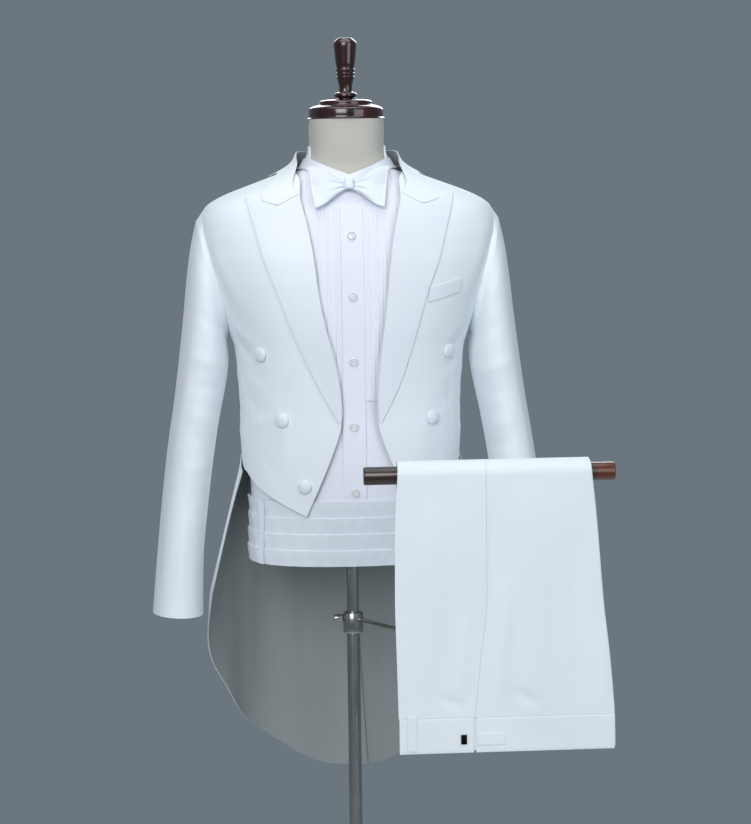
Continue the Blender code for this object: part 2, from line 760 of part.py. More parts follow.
def coat_buttons():
    shift, rise = BUTTON_SHIFT
    for side in (-1, 1):
        for row, (across, height) in enumerate(BUTTONS):
            angle = edge_angle(side, across, height)
            if side > 0:
                angle = angle_of(across + shift, height + rise)
            lift = TOP_BUTTON_LIFT if row == 0 else 0.0
            spot = mirror_x(figure(angle, height, ON_COAT + lift), side)
            facing = spot - mirror_x(figure(angle, height), side)
            count = row + 1 if side < 0 else row + 1 + len(BUTTONS)
            disc(f"coat_button_{count}", spot, facing, BUTTON_RADIUS, BUTTON_THICKNESS, "satin")


def neckline(angle):
    """Give the height of the shirt's neck edge, low at the front."""
    return between(*NECKLINE, ease(abs(angle) / NECKLINE_TURN))


def shirt_armhole(height):
    """Give how far the shirt's armhole has cut in from the side seam, in degrees."""
    share = (height - ARM_HEIGHT) / (ARM_REACH - SHIRT_ARMHOLE_INSET)
    return SHIRT_ARMHOLE_TURN * sqrt(max(1 - share * share, 0.0))


def shirt_side(height, back):
    cut = shirt_armhole(height)
    return 90.0 + cut if back else 90.0 - cut


def shirt_height(v, angle):
    """Give the height of one of the shirt's rows, the last three of which reach the neck."""
    rows = len(SHIRT_LEVELS) + 2
    row = round(v * rows)
    if row < len(SHIRT_LEVELS):
        return SHIRT_LEVELS[row]
    share = (row + 1 - len(SHIRT_LEVELS)) / 3
    return between(SHIRT_LEVELS[-1], neckline(angle), share)


def shirt_front(side, label):
    def place(u, v, w):
        u = trimmed(u, 0.25)
        height = shirt_height(v, between(90.0, 0.0, u))
        angle = between(shirt_side(height, False), 0.0, u)
        return mirror_x(figure(angle, height, between(*SHIRT, w)), side)
    wall("shirt_front_" + label, place, 8, len(SHIRT_LEVELS) + 2, "shirt_cloth")


def shirt_back():
    def place(u, v, w):
        turn = between(-1.0, 1.0, u)
        height = shirt_height(v, 180.0 - 90.0 * abs(turn))
        seam = shirt_side(height, True) + degrees(SEAM / 2 / FIGURE_RADIUS)
        angle = between(180.0, seam, abs(turn))
        side = 1 if turn > 0 else -1
        return mirror_x(figure(angle, height, between(*SHIRT, w)), side)
    wall("shirt_back", place, 14, len(SHIRT_LEVELS) + 2, "shirt_cloth")


def shirt_bib(side, label):
    levels = [one for one in SHIRT_LEVELS if one >= BIB_FOOT] + [BIB_TOP]
    columns = [BIB_INNER]
    for pleat in PLEATS:
        columns += [pleat - PLEAT_HALF, pleat, pleat + PLEAT_HALF]
    columns.append(BIB_OUTER)

    def place(u, v, w):
        across = columns[round(u * (len(columns) - 1))]
        height = levels[round(v * (len(levels) - 1))]
        ridge = PLEAT_RISE * w if across in PLEATS else 0.0
        angle = angle_of(across, height)
        return mirror_x(figure(angle, height, between(*BIB, w) + ridge), side)
    wall("shirt_bib_" + label, place, len(columns) - 1, len(levels) - 1, "shirt_cloth")


def shirt_placket():
    levels = [*PLACKET_FOOT, *(one for one in SHIRT_LEVELS if one > 0.95), BIB_TOP]

    def place(u, v, w):
        across = between(-PLACKET_HALF, PLACKET_HALF, u)
        height = levels[round(v * (len(levels) - 1))]
        out = between(*PLACKET, w)
        if height < PLACKET_STEP:
            out = between(*PLACKET_END, w)
        side = 1 if across > 0 else -1
        return mirror_x(figure(angle_of(abs(across), height), height, out), side)
    wall("shirt_placket", place, 2, len(levels) - 1, "shirt_cloth")


def shirt_studs():
    for count, height in enumerate(STUD_HEIGHTS, 1):
        spot = figure(0.0, height, STUD_SEAT)
        facing = spot - figure(0.0, height, FORM)
        disc(f"shirt_stud_{count}", spot, facing, STUD_RADIUS, STUD_THICKNESS, "shirt_stud", 10)


def collar_top(angle):
    """Give the shirt collar's upper edge, cut down to a V at the throat."""
    slant = sin(radians(min(abs(angle), COLLAR_SLANT_TURN))) / sin(radians(COLLAR_SLANT_TURN))
    corner = ease((abs(angle) - COLLAR_SLANT_TURN) / COLLAR_CORNER_TURN)
    return COLLAR_V + COLLAR_SLANT * slant + COLLAR_CORNER * corner


def shirt_collar():
    def place(turn, v, w):
        angle = between(-180.0, 180.0, turn)
        low = neckline(angle) + COLLAR_SEAM
        height = between(collar_top(angle), low, v)
        return figure(angle, height, between(*SHIRT_COLLAR, w))
    tube("shirt_collar", place, 28, 4, "shirt_cloth")


def tie_band():
    def place(turn, v, w):
        angle = between(-180.0, 180.0, turn)
        middle = between(*TIE_MIDDLE, ease(abs(angle) / TIE_TURN))
        height = middle + between(TIE_HALF, -TIE_HALF, v)
        return figure(angle, height, between(*TIE_BAND, w))
    tube("tie_band", place, 28, 2, "satin")


def bow_outline(across, grow=0.0):
    """Give the half height of the bow at a distance from its knot."""
    share = min(abs(across) / BOW_HALF, 1.0)
    return between(BOW_WAIST, BOW_END + grow, ease(share * 1.15))


def bow_part(name, half_width, depth, thickness, puff, grow, across, along):
    def place(u, v, w):
        x = between(-half_width, half_width, u)
        x += BOW_SLANT * (2 * v - 1) * (2 * u - 1)
        half = bow_outline(x, grow)
        z = BOW_MIDDLE + (2 * v - 1) * half - BOW_DROOP * abs(2 * u - 1)
        slope = BOW_SLOPE if z < BOW_MIDDLE else BOW_UPPER_SLOPE
        back = BOW_DEPTH - (BOW_MIDDLE - z) * slope + depth
        near = 1 - abs(2 * u - 1)
        gather = BOW_GATHER * cos((2 * v - 1) * 3 * pi) * ease(near * 1.6) * (1 - ease(near * 3 - 2))
        swell = puff * sin(pi * min(abs(2 * u - 1) * 1.05, 1.0)) * (1 - (2 * v - 1) ** 2)
        return Vector((x + BOW_SHIFT, back - w * (thickness + swell + gather), z))
    wall(name, place, across, along, "satin")


def bow_tie():
    bow_part("bow_tie_front", 0.0565, 0.0, 0.0038, 0.0062, 0.0, 12, 6)
    bow_part("bow_tie_back", 0.0575, 0.0035, 0.0022, 0.0, 0.0022, 12, 6)
    mesh = bmesh.new()
    bmesh.ops.create_cube(mesh, size=1.0)
    bmesh.ops.scale(mesh, vec=KNOT_SIZE, verts=mesh.verts[:])
    bmesh.ops.bevel(mesh, geom=mesh.edges[:], offset=0.0028, segments=2, profile=0.5,
                    affect="EDGES", material=-1)
    tilt = Matrix.Rotation(-atan2(KNOT_SLOPE, 1.0), 4, "X")
    facing = tilt @ Vector((0, -1, 0))
    seat = Vector((BOW_SHIFT, BOW_DEPTH - 0.0049, BOW_MIDDLE)) + facing * (KNOT_SIZE[1] / 2 + 6 * SEAM)
    bmesh.ops.transform(mesh, matrix=Matrix.Translation(seat) @ tilt, verts=mesh.verts[:])
    add("bow_tie_knot", mesh, "satin")


def pleat_rise(v, w):
    """Raise each of the cummerbund's pleats towards its upper edge."""
    share = v * CUMMERBUND_PLEATS % 1.0
    if v == 1.0:
        share = 1.0
    return w * CUMMERBUND_RISE * share


def cummerbund():
    levels = []
    for pleat in range(CUMMERBUND_PLEATS):
        levels.append(pleat / CUMMERBUND_PLEATS + PLEAT_STEP)
        levels.append((pleat + 1) / CUMMERBUND_PLEATS - PLEAT_STEP)
    levels[0] = 0.0
    levels[-1] = 1.0

    def front(u, v, w):
        angle = between(-CUMMERBUND_TURN, CUMMERBUND_TURN, u)
        level = levels[round(v * (len(levels) - 1))]
        out = between(*CUMMERBUND, w) + pleat_rise(level, w)
        return figure(angle, between(*CUMMERBUND_SPAN, level), out)
    wall("cummerbund_front", front, 22, len(levels) - 1, "satin")

    def back(u, v, w):
        half = CENTRE_BACK - CUMMERBUND_TURN - degrees(SEAM / 2 / FIGURE_RADIUS)
        angle = between(CENTRE_BACK - half, CENTRE_BACK + half, u)
        return figure(angle, between(*STRAP_SPAN, v), between(*CUMMERBUND_BACK, w))
    wall("cummerbund_back", back, 16, 1, "satin")

    for side, label in ((-1, "left"), (1, "right")):
        def strip(u, v, w, side=side):
            angle = between(*STRIP_ANGLES, u)
            height = between(*STRIP_SPAN, v)
            return mirror_x(figure(angle, height, between(*CUMMERBUND_STRIP, w)), side)
        wall("cummerbund_strip_" + label, strip, 1, 2, "satin")


def form_torso():
    """Make the limbless form: rings up the figure, closed at the foot and the neck."""
    heights = [FORM_FOOT, *SHIRT_LEVELS]
    heights += [SHIRT_LEVELS[-1] + 0.0119 * step for step in range(1, 9)]
    heights.append(FORM_TOP)
    sides = 28
    mesh = bmesh.new()
    bmesh.ops.create_grid(mesh, x_segments=sides, y_segments=len(heights) - 1, size=0.5)
    for vert in mesh.verts:
        angle = 360.0 * ((vert.co.x + 0.5) % 1.0) - 180.0
        height = heights[round((vert.co.y + 0.5) * (len(heights) - 1))]
        out = FORM + FORM_NECK * ease((height - 1.425) / 0.025)
        vert.co = figure(angle, height, out)
        if height in (FORM_FOOT, FORM_TOP):
            vert.co.z = height
    bmesh.ops.remove_doubles(mesh, verts=mesh.verts[:], dist=1e-6)
    bmesh.ops.holes_fill(mesh, edges=[edge for edge in mesh.edges if edge.is_boundary], sides=0)
    add("form_torso", mesh, "form_linen")


def neck_cap():
    turned("neck_cap", CAP_PROFILE[::-1], "mahogany", 16)


def on_axis(height):
    return Vector((0.0, 0.0, height))


def stand():
    turned("stand_base", BASE_PROFILE[::-1], "steel", 32)
    foot = on_axis(SOCKET_FOOT + SEAM)
    join = on_axis(POLE_JOIN)
    rod("lower_pole", foot, join, LOWER_POLE_RADIUS, "steel", 16)
    rod("upper_pole", join + on_axis(SEAM), on_axis(FORM_FOOT - SEAM), POLE_RADIUS, "steel", 16)
    turned("pole_clamp", CLAMP_PROFILE[::-1], "steel", 16)
    inner = Vector((-CLAMP_RADIUS - 2 * SEAM, 0.0, SCREW_LEVEL))
    outer = Vector((-SCREW_END, 0.0, SCREW_LEVEL))
    rod("thumb_screw", inner, outer, SCREW_RADIUS, "steel", 12)


def rail():
    foot = Vector((BAR_MIDDLE, BAR_DEPTH, 0.0))
    direction = foot.normalized()
    level = on_axis(ARM_LEVEL)
    arm_start = direction * (CLAMP_RADIUS + SEAM) + level
    arm_end = foot - direction * (UPRIGHT_RADIUS + SEAM) + level
    rod("rail_arm", arm_start, arm_end, ARM_RADIUS, "steel", 12)
    upright_foot = foot + on_axis(ARM_LEVEL - 2.5 * ARM_RADIUS)
    upright_top = foot + on_axis(BAR_HEIGHT - BAR_RADIUS - SEAM)
    rod("rail_upright", upright_foot, upright_top, UPRIGHT_RADIUS, "steel", 16)
    bar_start = Vector((BAR_START, BAR_DEPTH, BAR_HEIGHT))
    bar_end = Vector((BAR_END, BAR_DEPTH, BAR_HEIGHT))
    rod("rail_bar", bar_start, bar_end, BAR_RADIUS, "dark_wood", 18)


FRONT_FALL = BAR_HEIGHT - TROUSER_FOOT
REAR_FALL = BAR_HEIGHT - TROUSER_REAR
BEND = pi * (BAR_RADIUS + 0.003)


def over_rail(distance, radius):
    """Follow the rail's profile: up the front, over the top and down behind."""
    if distance < FRONT_FALL:
        return BAR_DEPTH - radius, TROUSER_FOOT + distance
    if distance < FRONT_FALL + BEND:
        turn = pi * (distance - FRONT_FALL) / BEND
        return BAR_DEPTH - radius * cos(turn), BAR_HEIGHT + radius * sin(turn)
    return BAR_DEPTH + radius, BAR_HEIGHT - (distance - FRONT_FALL - BEND)


def leg_stop(share, start):
    """Give the distance along the leg, with close steps over the rail."""
    shares = (0.0, 0.25, 0.75, 1.0)
    stops = (start, FRONT_FALL, FRONT_FALL + BEND, FRONT_FALL + BEND + REAR_FALL)
    return float(np.interp(share, shares, stops))


def leg_edge(distance, column):
    level = TROUSER_FOOT + distance
    heights = [row[0] for row in LEG_EDGES]
    return float(np.interp(level, heights, [row[column] for row in LEG_EDGES]))


def leg_wall(name, left, right, radii, start, across, along):
    """Make a length of cloth over the rail between two columns of the leg's edges."""
    def place(u, v, w):
        distance = leg_stop(v, start)
        edge_a = leg_edge(distance, left[0]) + left[1]
        edge_b = leg_edge(distance, right[0]) + right[1]
        y, z = over_rail(distance, between(*radii, w))
        return Vector((between(edge_a, edge_b, u), y, z))
    wall(name, place, across, along, "coat_cloth")


def flat_patch(name, corners, reach, finish, across=1):
    """Make a flat piece on the front fall from its left, foot, right and top."""
    left, foot, right, top = corners

    def place(u, v, w):
        y = BAR_DEPTH - BAR_RADIUS - between(*reach, w)
        return Vector((between(left, right, u), y, between(foot, top, v)))
    wall(name, place, across, 1, finish)


def trousers():
    """Hang the leg over the rail, its edges being columns of the leg's table."""
    left, seam, right = 1, 2, 3
    above_band = WAISTBAND_TOP + SEAM - TROUSER_FOOT
    gap = SEAM / 2
    leg_wall("trouser_under_leg", (left, 0.003), (right, -0.002), UNDER_LEG, 0.003, 2, 16)
    leg_wall("trouser_back_panel", (left, 0.0), (seam, -gap), OUTER_LEG, above_band, 3, 16)
    leg_wall("trouser_front_panel", (seam, gap), (right, 0.0), OUTER_LEG, above_band, 4, 16)
    flat_patch("waistband_back", WAISTBAND_BACK, WAISTBAND, "coat_cloth", 3)
    flat_patch("waistband_front", WAISTBAND_FRONT, WAISTBAND, "coat_cloth", 4)
    flat_patch("belt_loop", BELT_LOOP, ON_BAND, "coat_cloth")
    flat_patch("side_tab", SIDE_TAB, ON_BAND, "coat_cloth")
    flat_patch("waist_fastener", WAIST_FASTENER, FASTENER, "black_metal")


def clear_scene():
    for old in list(bpy.data.objects):
        bpy.data.objects.remove(old, do_unlink=True)
    made = bpy.data.collections.new(COLLECTION)
    bpy.context.scene.collection.children.link(made)


def build():
    clear_scene()
    form_torso()
    neck_cap()
    stand()
    rail()
    for side, label in ((-1, "left"), (1, "right")):
        coat_front(side, label)
        coat_side(side, label)
        coat_back(side, label)
        coat_tail(side, label)
        sleeve(side, label)
        lapel(side, label)
        shirt_front(side, label)
        shirt_bib(side, label)
    shirt_back()
    coat_collar()
    welt_pocket()
    coat_buttons()
    shirt_placket()
    shirt_studs()
    shirt_collar()
    tie_band()
    bow_tie()
    cummerbund()
    trousers()


build()
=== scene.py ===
"""Looks of a white tailcoat suit on its dress stand, with the trousers over a rail.

Each cloth piece is a thin wall on the same surfaces as its solid, with its folds laid on one by one.
Metres, +Z up, the viewer at -Y, the origin under the pole on the floor.
"""

from math import atan2, cos, degrees, exp, hypot, pi, radians, sin, sqrt

import bmesh
import bpy
import numpy as np
from mathutils import Matrix, Vector


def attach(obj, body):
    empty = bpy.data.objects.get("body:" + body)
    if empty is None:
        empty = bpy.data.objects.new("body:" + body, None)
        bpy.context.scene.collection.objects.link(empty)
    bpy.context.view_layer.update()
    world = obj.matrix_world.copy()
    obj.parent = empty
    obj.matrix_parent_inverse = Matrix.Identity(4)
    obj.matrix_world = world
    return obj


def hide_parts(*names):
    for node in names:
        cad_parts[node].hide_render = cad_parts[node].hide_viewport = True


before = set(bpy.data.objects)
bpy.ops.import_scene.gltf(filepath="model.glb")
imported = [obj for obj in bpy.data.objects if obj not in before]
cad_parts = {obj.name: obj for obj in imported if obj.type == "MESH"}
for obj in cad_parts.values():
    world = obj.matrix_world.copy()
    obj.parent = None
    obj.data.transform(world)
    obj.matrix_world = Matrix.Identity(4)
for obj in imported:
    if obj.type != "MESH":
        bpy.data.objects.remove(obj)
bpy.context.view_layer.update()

# Cloth, as distances out from the coat's inner face
COAT = (0.0, 0.0020)
LAPEL = (0.0034, 0.0050)
COLLAR = (0.0028, 0.0046)
COLLAR_LIFT = 0.0022
COLLAR_TUCK = 0.0125
SHIRT = (-0.0100, -0.0085)
BIB = (-0.0077, -0.0063)
PLACKET = (-0.0077, -0.0060)
SHIRT_COLLAR = (-0.0120, -0.0103)
TIE_BAND = (-0.0091, -0.0079)
CUMMERBUND = (-0.0070, -0.0048)
FORM = -0.0155
FORM_NECK = 0.0030
WELT = (0.0026, 0.0042)
CUMMERBUND_BACK = (-0.0070, -0.0050)
CUMMERBUND_STRIP = (-0.0025, -0.0013)
PLACKET_END = (-0.0081, -0.0077)
ON_COAT = 0.0026

# Gap between two pieces at their seam
SEAM = 0.0003

# Points this close are one, and an edge bent more than this, in degrees, stays sharp
TOUCHING = 1e-6
SHARP_ANGLE = 50

# Armhole, an oval on the side of the body
ARM_ANGLE = 90.0
ARM_SPREAD = 25.0
ARM_HEIGHT = 1.267
ARM_REACH = 0.095

# Seams round the body, in degrees from the front
SIDE_SEAM = 72.0
BACK_SEAM_TOP = 110.0
BACK_SEAM_TURN = 20.0
CENTRE_BACK = 180.0
BACK_CROWDING = 1.25
WAIST_FRONT = 0.957
WAIST_BACK = 0.985
CENTRE_SWAY = 0.008
SWAY_TOP = 1.25
SWAY_REACH = 0.20
BACK_SEAM_BEND = 1.17
PANEL_LENGTH = 0.45
SIDE_BODY_WIDTH = 0.11
SIDE_BODY_LENGTH = 0.22
FIGURE_SQUARE = 0.05
FIGURE_RADIUS = 0.08

# Stand
POLE_RADIUS = 0.0093
LOWER_POLE_RADIUS = 0.0103
BASE_RADIUS = 0.185
SOCKET_TOP = 0.055
SOCKET_FOOT = 0.030
POLE_JOIN = 0.693
CLAMP_RADIUS = 0.0160
CLAMP_TOP = 0.7255
SCREW_LEVEL = 0.7160
SCREW_END = 0.0300
SCREW_RADIUS = 0.0062
FORM_FOOT = 0.822
FORM_TOP = 1.495
FORM_NECK_FOOT = 1.425
FORM_NECK_RISE = 0.025
FORM_CLOTH = (0.9, 0.7)
ARM_RADIUS = 0.0032
UPRIGHT_RADIUS = 0.0060
ROD_BEVEL = 0.18
ARM_LEVEL = 0.7155
UPRIGHT_FOOT = ARM_LEVEL - 2.5 * ARM_RADIUS
BAR_HEIGHT = 0.980
BAR_RADIUS = 0.01325
BAR_START = 0.001
BAR_END = 0.367
BAR_DEPTH = -0.28
BAR_MIDDLE = (BAR_START + BAR_END) / 2

# Trousers
TROUSER_FOOT = 0.573
TROUSER_REAR = 0.735
FRONT_FALL = BAR_HEIGHT - TROUSER_FOOT
REAR_FALL = BAR_HEIGHT - TROUSER_REAR
BEND = pi * (BAR_RADIUS + 0.003)
WAISTBAND_TOP = 0.625
UNDER_LEG = (BAR_RADIUS + 0.0008, BAR_RADIUS + 0.0056)
OUTER_LEG = (BAR_RADIUS + 0.0060, BAR_RADIUS + 0.0076)
WAISTBAND = (0.0060, 0.0084)
ON_BAND = (0.0088, 0.0103)
FASTENER = (0.0088, 0.0108)

# Inner face of the coat: height, half width, front depth, back depth
FIGURE = (
    (0.780, 0.166, 0.110, 0.120),
    (0.830, 0.167, 0.112, 0.119),
    (0.900, 0.1645, 0.113, 0.114),
    (0.950, 0.166, 0.113, 0.109),
    (1.000, 0.169, 0.112, 0.104),
    (1.050, 0.1695, 0.114, 0.102),
    (1.100, 0.171, 0.118, 0.106),
    (1.150, 0.176, 0.122, 0.113),
    (1.180, 0.187, 0.124, 0.118),
    (1.210, 0.199, 0.124, 0.122),
    (1.250, 0.215, 0.122, 0.125),
    (1.285, 0.225, 0.118, 0.125),
    (1.320, 0.230, 0.110, 0.122),
    (1.345, 0.227, 0.102, 0.117),
    (1.365, 0.216, 0.093, 0.110),
    (1.380, 0.188, 0.085, 0.103),
    (1.395, 0.147, 0.078, 0.094),
    (1.410, 0.106, 0.073, 0.084),
    (1.425, 0.081, 0.071, 0.075),
    (1.445, 0.070, 0.070, 0.070),
    (1.520, 0.070, 0.070, 0.070),
)

# Skirt that the tails hang from: height, half width, front depth, back depth
SKIRT = (
    (0.420, 0.217, 0.112, 0.158),
    (0.540, 0.222, 0.112, 0.160),
    (0.620, 0.224, 0.112, 0.160),
    (0.700, 0.224, 0.112, 0.157),
    (0.760, 0.221, 0.112, 0.152),
    (0.810, 0.210, 0.112, 0.145),
    (0.870, 0.195, 0.113, 0.132),
    (0.920, 0.182, 0.113, 0.118),
    (0.960, 0.1715, 0.113, 0.109),
    (0.985, 0.1685, 0.112, 0.1055),
    (1.000, 0.169, 0.112, 0.104),
    (1.050, 0.1695, 0.114, 0.102),
)

# Coat front: side seam angle and height, front edge from the centre and its height
FRONT_ROWS = (
    (90.0, 1.362, 0.0900, 1.421),
    (75.7, 1.345, 0.0755, 1.405),
    (66.5, 1.2995, 0.0750, 1.375),
    (65.4, 1.2505, 0.0660, 1.337),
    (72.0, 1.201, 0.0570, 1.286),
    (72.0, 1.150, 0.0465, 1.200),
    (72.0, 1.100, 0.0340, 1.140),
    (72.0, 1.050, 0.0275, 1.085),
    (72.0, 1.010, 0.0275, 1.036),
    (72.0, 0.985, 0.0455, 0.980),
    (72.0, 0.957, 0.0820, 0.895),
)

# Coat back: side edge angle and height, inner edge angle and height
BACK_ROWS = (
    (90.0, 1.362, 90.0, 1.421),
    (104.3, 1.345, 135.0, 1.421),
    (113.5, 1.2995, 180.0, 1.421),
    (114.6, 1.2505, 180.0, 1.360),
    (110.0, 1.210, 180.0, 1.280),
    (110.0, 1.170, 180.0, 1.200),
    (118.0, 1.110, 180.0, 1.120),
    (131.0, 1.045, 180.0, 1.050),
    (135.0, 0.985, 180.0, 0.985),
)

# Tail: outer edge angle and height, inner edge angle and height
TAIL_ROWS = (
    (75.0, 0.9570, 179.9, 0.9846),
    (79.0, 0.920, 181.0, 0.930),
    (82.0, 0.870, 182.0, 0.870),
    (85.0, 0.800, 183.0, 0.790),
    (91.0, 0.735, 184.0, 0.710),
    (103.0, 0.660, 185.0, 0.630),
    (116.0, 0.600, 186.0, 0.560),
    (130.0, 0.545, 187.0, 0.495),
    (145.0, 0.499, 188.0, 0.438),
)
TAIL_HEM_DROP = 0.022
TAIL_TUCK = 0.0042
TAIL_GAP = 0.0009
TAIL_WAVE = 0.0075
TAIL_WAVE_ANGLE = 40.0
TAIL_WAVE_TOP = 0.93
TAIL_WAVE_REACH = 0.40
TAIL_EDGE_ANGLE = 188.0
TAIL_OVERLAP = 4.5
TAIL_OVERLAP_SHARE = 0.25
TAIL_HEM_START = 0.7
TAIL_WAIST_SHARE = 0.05
TAIL_TUCK_START = 160.0
TAIL_TUCK_TURN = 17.0

# Lapel: roll line from the centre and its height, outer edge from the centre and its height
LAPEL_ROWS = (
    (0.0780, 1.3795, 0.1560, 1.3775),
    (0.0735, 1.3620, 0.1490, 1.3500),
    (0.0670, 1.3370, 0.1430, 1.3300),
    (0.0580, 1.2860, 0.1300, 1.2830),
    (0.0530, 1.2390, 0.1120, 1.2360),
    (0.0450, 1.1900, 0.0960, 1.1880),
    (0.0370, 1.1450, 0.0800, 1.1430),
    (0.0300, 1.1000, 0.0620, 1.0980),
    (0.0280, 1.0650, 0.0450, 1.0630),
    (0.0285, 1.0410, 0.0315, 1.0380),
)
LAPEL_TOP_DIP = 0.0155
LAPEL_NOTCH = 0.40
LAPEL_NOTCH_DEPTH = 0.96
LAPEL_TOP_SHARE = 1 / 7
WELT_TOP = ((0.1150, 1.2385), (0.1645, 1.2535))
WELT_FOOT = ((0.1120, 1.2185), (0.1615, 1.2325))

# Collar, from the centre back to its end: fold angle and height, leaf edge angle and height
COLLAR_ROWS = (
    (180.0, 1.4440, 180.0, 1.4000),
    (140.0, 1.4440, 140.0, 1.4010),
    (110.0, 1.4440, 108.0, 1.4040),
    (85.0, 1.4400, 84.0, 1.4105),
    (62.0, 1.4270, 61.5, 1.4050),
    (40.0, 1.4040, 46.5, 1.3895),
    (26.0, 1.3850, 41.5, 1.3735),
)
COLLAR_END = 0.0520
COLLAR_END_SHARE = 0.82
COLLAR_LAID = 0.85
GORGE_GAP = 0.0009
COLLAR_FRONT_SHARE = 0.6
COLLAR_TUCK_START = 125.0
COLLAR_TUCK_TURN = 40.0

# Sleeve rings below the armhole: outer x and z, inner x and z, middle y, half depth
SLEEVE_ROWS = (
    (0.2335, 1.342, 0.1895, 1.160, 0.000, 0.060),
    (0.2430, 1.300, 0.1885, 1.147, 0.000, 0.066),
    (0.2500, 1.250, 0.1875, 1.130, 0.000, 0.070),
    (0.2560, 1.195, 0.1890, 1.110, -0.002, 0.071),
    (0.2640, 1.130, 0.1945, 1.080, -0.004, 0.070),
    (0.2730, 1.065, 0.2040, 1.035, -0.006, 0.067),
    (0.2850, 0.990, 0.2140, 0.975, -0.010, 0.062),
    (0.2945, 0.915, 0.2235, 0.905, -0.016, 0.058),
    (0.3035, 0.833, 0.2320, 0.829, -0.024, 0.053),
    (0.3125, 0.741, 0.2345, 0.736, -0.033, 0.048),
)
SLEEVE_WALL = 0.0020
SLEEVE_EASE = 1.012
SLEEVE_SEAT = 0.0022
SLEEVE_HEAD = 0.07
SLEEVE_ROUND = 0.055
SLEEVE_SLIP = 0.017
SLEEVE_FOLDS_START = 0.04
SLEEVE_FOLDS_GROW = 1 / 8
SLEEVE_FOLDS_FADE = 1 / 12

# Trouser leg over the rail: height on the front fall, left edge, seam, right edge
LEG_EDGES = (
    (0.573, 0.0475, 0.1570, 0.3630),
    (0.625, 0.0465, 0.1580, 0.3625),
    (0.705, 0.0450, 0.1660, 0.3560),
    (0.790, 0.0430, 0.1770, 0.3460),
    (0.920, 0.0445, 0.1765, 0.3360),
    (0.995, 0.0500, 0.1770, 0.3280),
    (1.300, 0.0520, 0.1775, 0.3220),
)

# Bow tie, which leans back along the throat
BOW_MIDDLE = 1.3955
BOW_DEPTH = -0.0732
BOW_SLOPE = 0.75
BOW_UPPER_SLOPE = 0.15
KNOT_SLOPE = 0.42
BOW_HALF = 0.060
BOW_WAIST = 0.0068
BOW_END = 0.0285
BOW_SLANT = 0.0045
BOW_DROOP = 0.004
BOW_SHIFT = -0.002
BOW_LEAST = 0.0010
BOW_FLARE = 1.15
BOW_PUFF_REACH = 1.05

# Bow tie's layers: half width, depth, thickness, puff, extra half height, how deep its folds go
BOW_LAYERS = (
    ("bow_tie_front", 0.0565, 0.0, 0.0038, 0.0066, 0.0, 1.0),
    ("bow_tie_back", 0.0575, 0.0035, 0.0022, 0.0, 0.0022, 0.0),
)

# Folds that the knot draws into each wing: how far they reach, their shift and their depth
WING_FOLDS = {-1: (0.60, 0.05, 0.0026), 1: (0.74, -0.04, 0.0028)}
GATHER_START = 0.04
GATHER_GROWTH = 8
GATHER_FULL = 0.16
GATHER_FAN = 0.16
GATHER_LOBES = 3
GATHER_SHARPNESS = 1.3
KNOT_SIZE = (0.0150, 0.0072, 0.0175)
KNOT_BEVEL = 0.0030
KNOT_DEPTH = 0.0049
KNOT_GAP = 6 * SEAM
KNOT_WAIST = 0.10
KNOT_RIPPLE = 0.00045
KNOT_RIPPLE_STEP = 0.0052
KNOT_RIPPLE_START = 0.002
KNOT_RIPPLE_REACH = 0.006

# Shirt, with the bib's pleats as pairs of a seam and a turned edge, from the centre
SHIRT_SPAN = (0.830, 1.355)
SHIRT_TOP_SHARE = 0.86
SHIRT_FRONT_WIDTH = 0.25
SHIRT_SLIP = 0.006
BIB_FOOT = 1.07
BIB_TOP = 1.366
BIB_INNER = 0.0178
BIB_OUTER = 0.0700
BIB_PLAIN = (0.058, 0.064)
PLEATS = (0.0215, 0.0265, 0.0345, 0.0395, 0.0475, 0.0525)
PLACKET_HALF = 0.0175
PLACKET_FOOT = 0.834
PLACKET_STEP = 0.920
PLACKET_STEP_HALF = 0.004
PLACKET_HEM = 0.0004
PLACKET_HEM_START = 0.0125
PLACKET_HEM_REACH = 0.003
NECKLINE = (1.371, 1.421)
NECKLINE_TURN = 52.0
SHIRT_ARMHOLE_TURN = 22.0
SHIRT_ARMHOLE_INSET = 0.004

# Bib pleat's rows: distance across and rise, by its seam, on its crown and by its turned edge
PLEAT_SEAM = ((-0.0014, 0.0), (-0.0005, -0.0002), (0.0, -0.0006), (0.0004, 0.0), (0.0016, 0.0005))
PLEAT_CROWN = 0.7
PLEAT_RISE = 0.0008
PLEAT_EDGE = ((-0.0003, 0.0010), (0.0, 0.0008), (0.0002, -0.0005), (0.0006, -0.0003), (0.0016, 0.0))

# Shirt collar and the tie's band
COLLAR_V = 1.4130
COLLAR_SLANT = 0.026
COLLAR_SLANT_TURN = 60.0
COLLAR_CORNER = 0.015
COLLAR_CORNER_TURN = 20.0
COLLAR_SEAM = 0.0009
COLLAR_FOLD = 0.0003
COLLAR_FOLD_SHARE = 1 / 9
TIE_MIDDLE = (1.4005, 1.4320)
TIE_TURN = 60.0
TIE_HALF = 0.0065

# Cummerbund: its pleats, and the two waves of its drag as a share, a turn and a climb
STRAP_SPAN = (0.8365, 0.8965)
STRIP_SPAN = (0.8170, 0.9160)
STRIP_ANGLES = (54.5, 58.5)
CUMMERBUND_SPAN = (0.8165, 0.9165)
CUMMERBUND_TURN = 93.0
CUMMERBUND_PLEATS = 4
CUMMERBUND_ROWS = (0.0, 0.10, 0.25, 0.45, 0.65, 0.82, 0.93, 0.985)
CUMMERBUND_SOFTNESS = 0.55
CUMMERBUND_SWELL = 1.1
CUMMERBUND_RISE = 0.0021
CUMMERBUND_DRAG = 0.0012
CUMMERBUND_WAVES = ((0.3, 0.53, 7), (0.2, 0.91, -16))

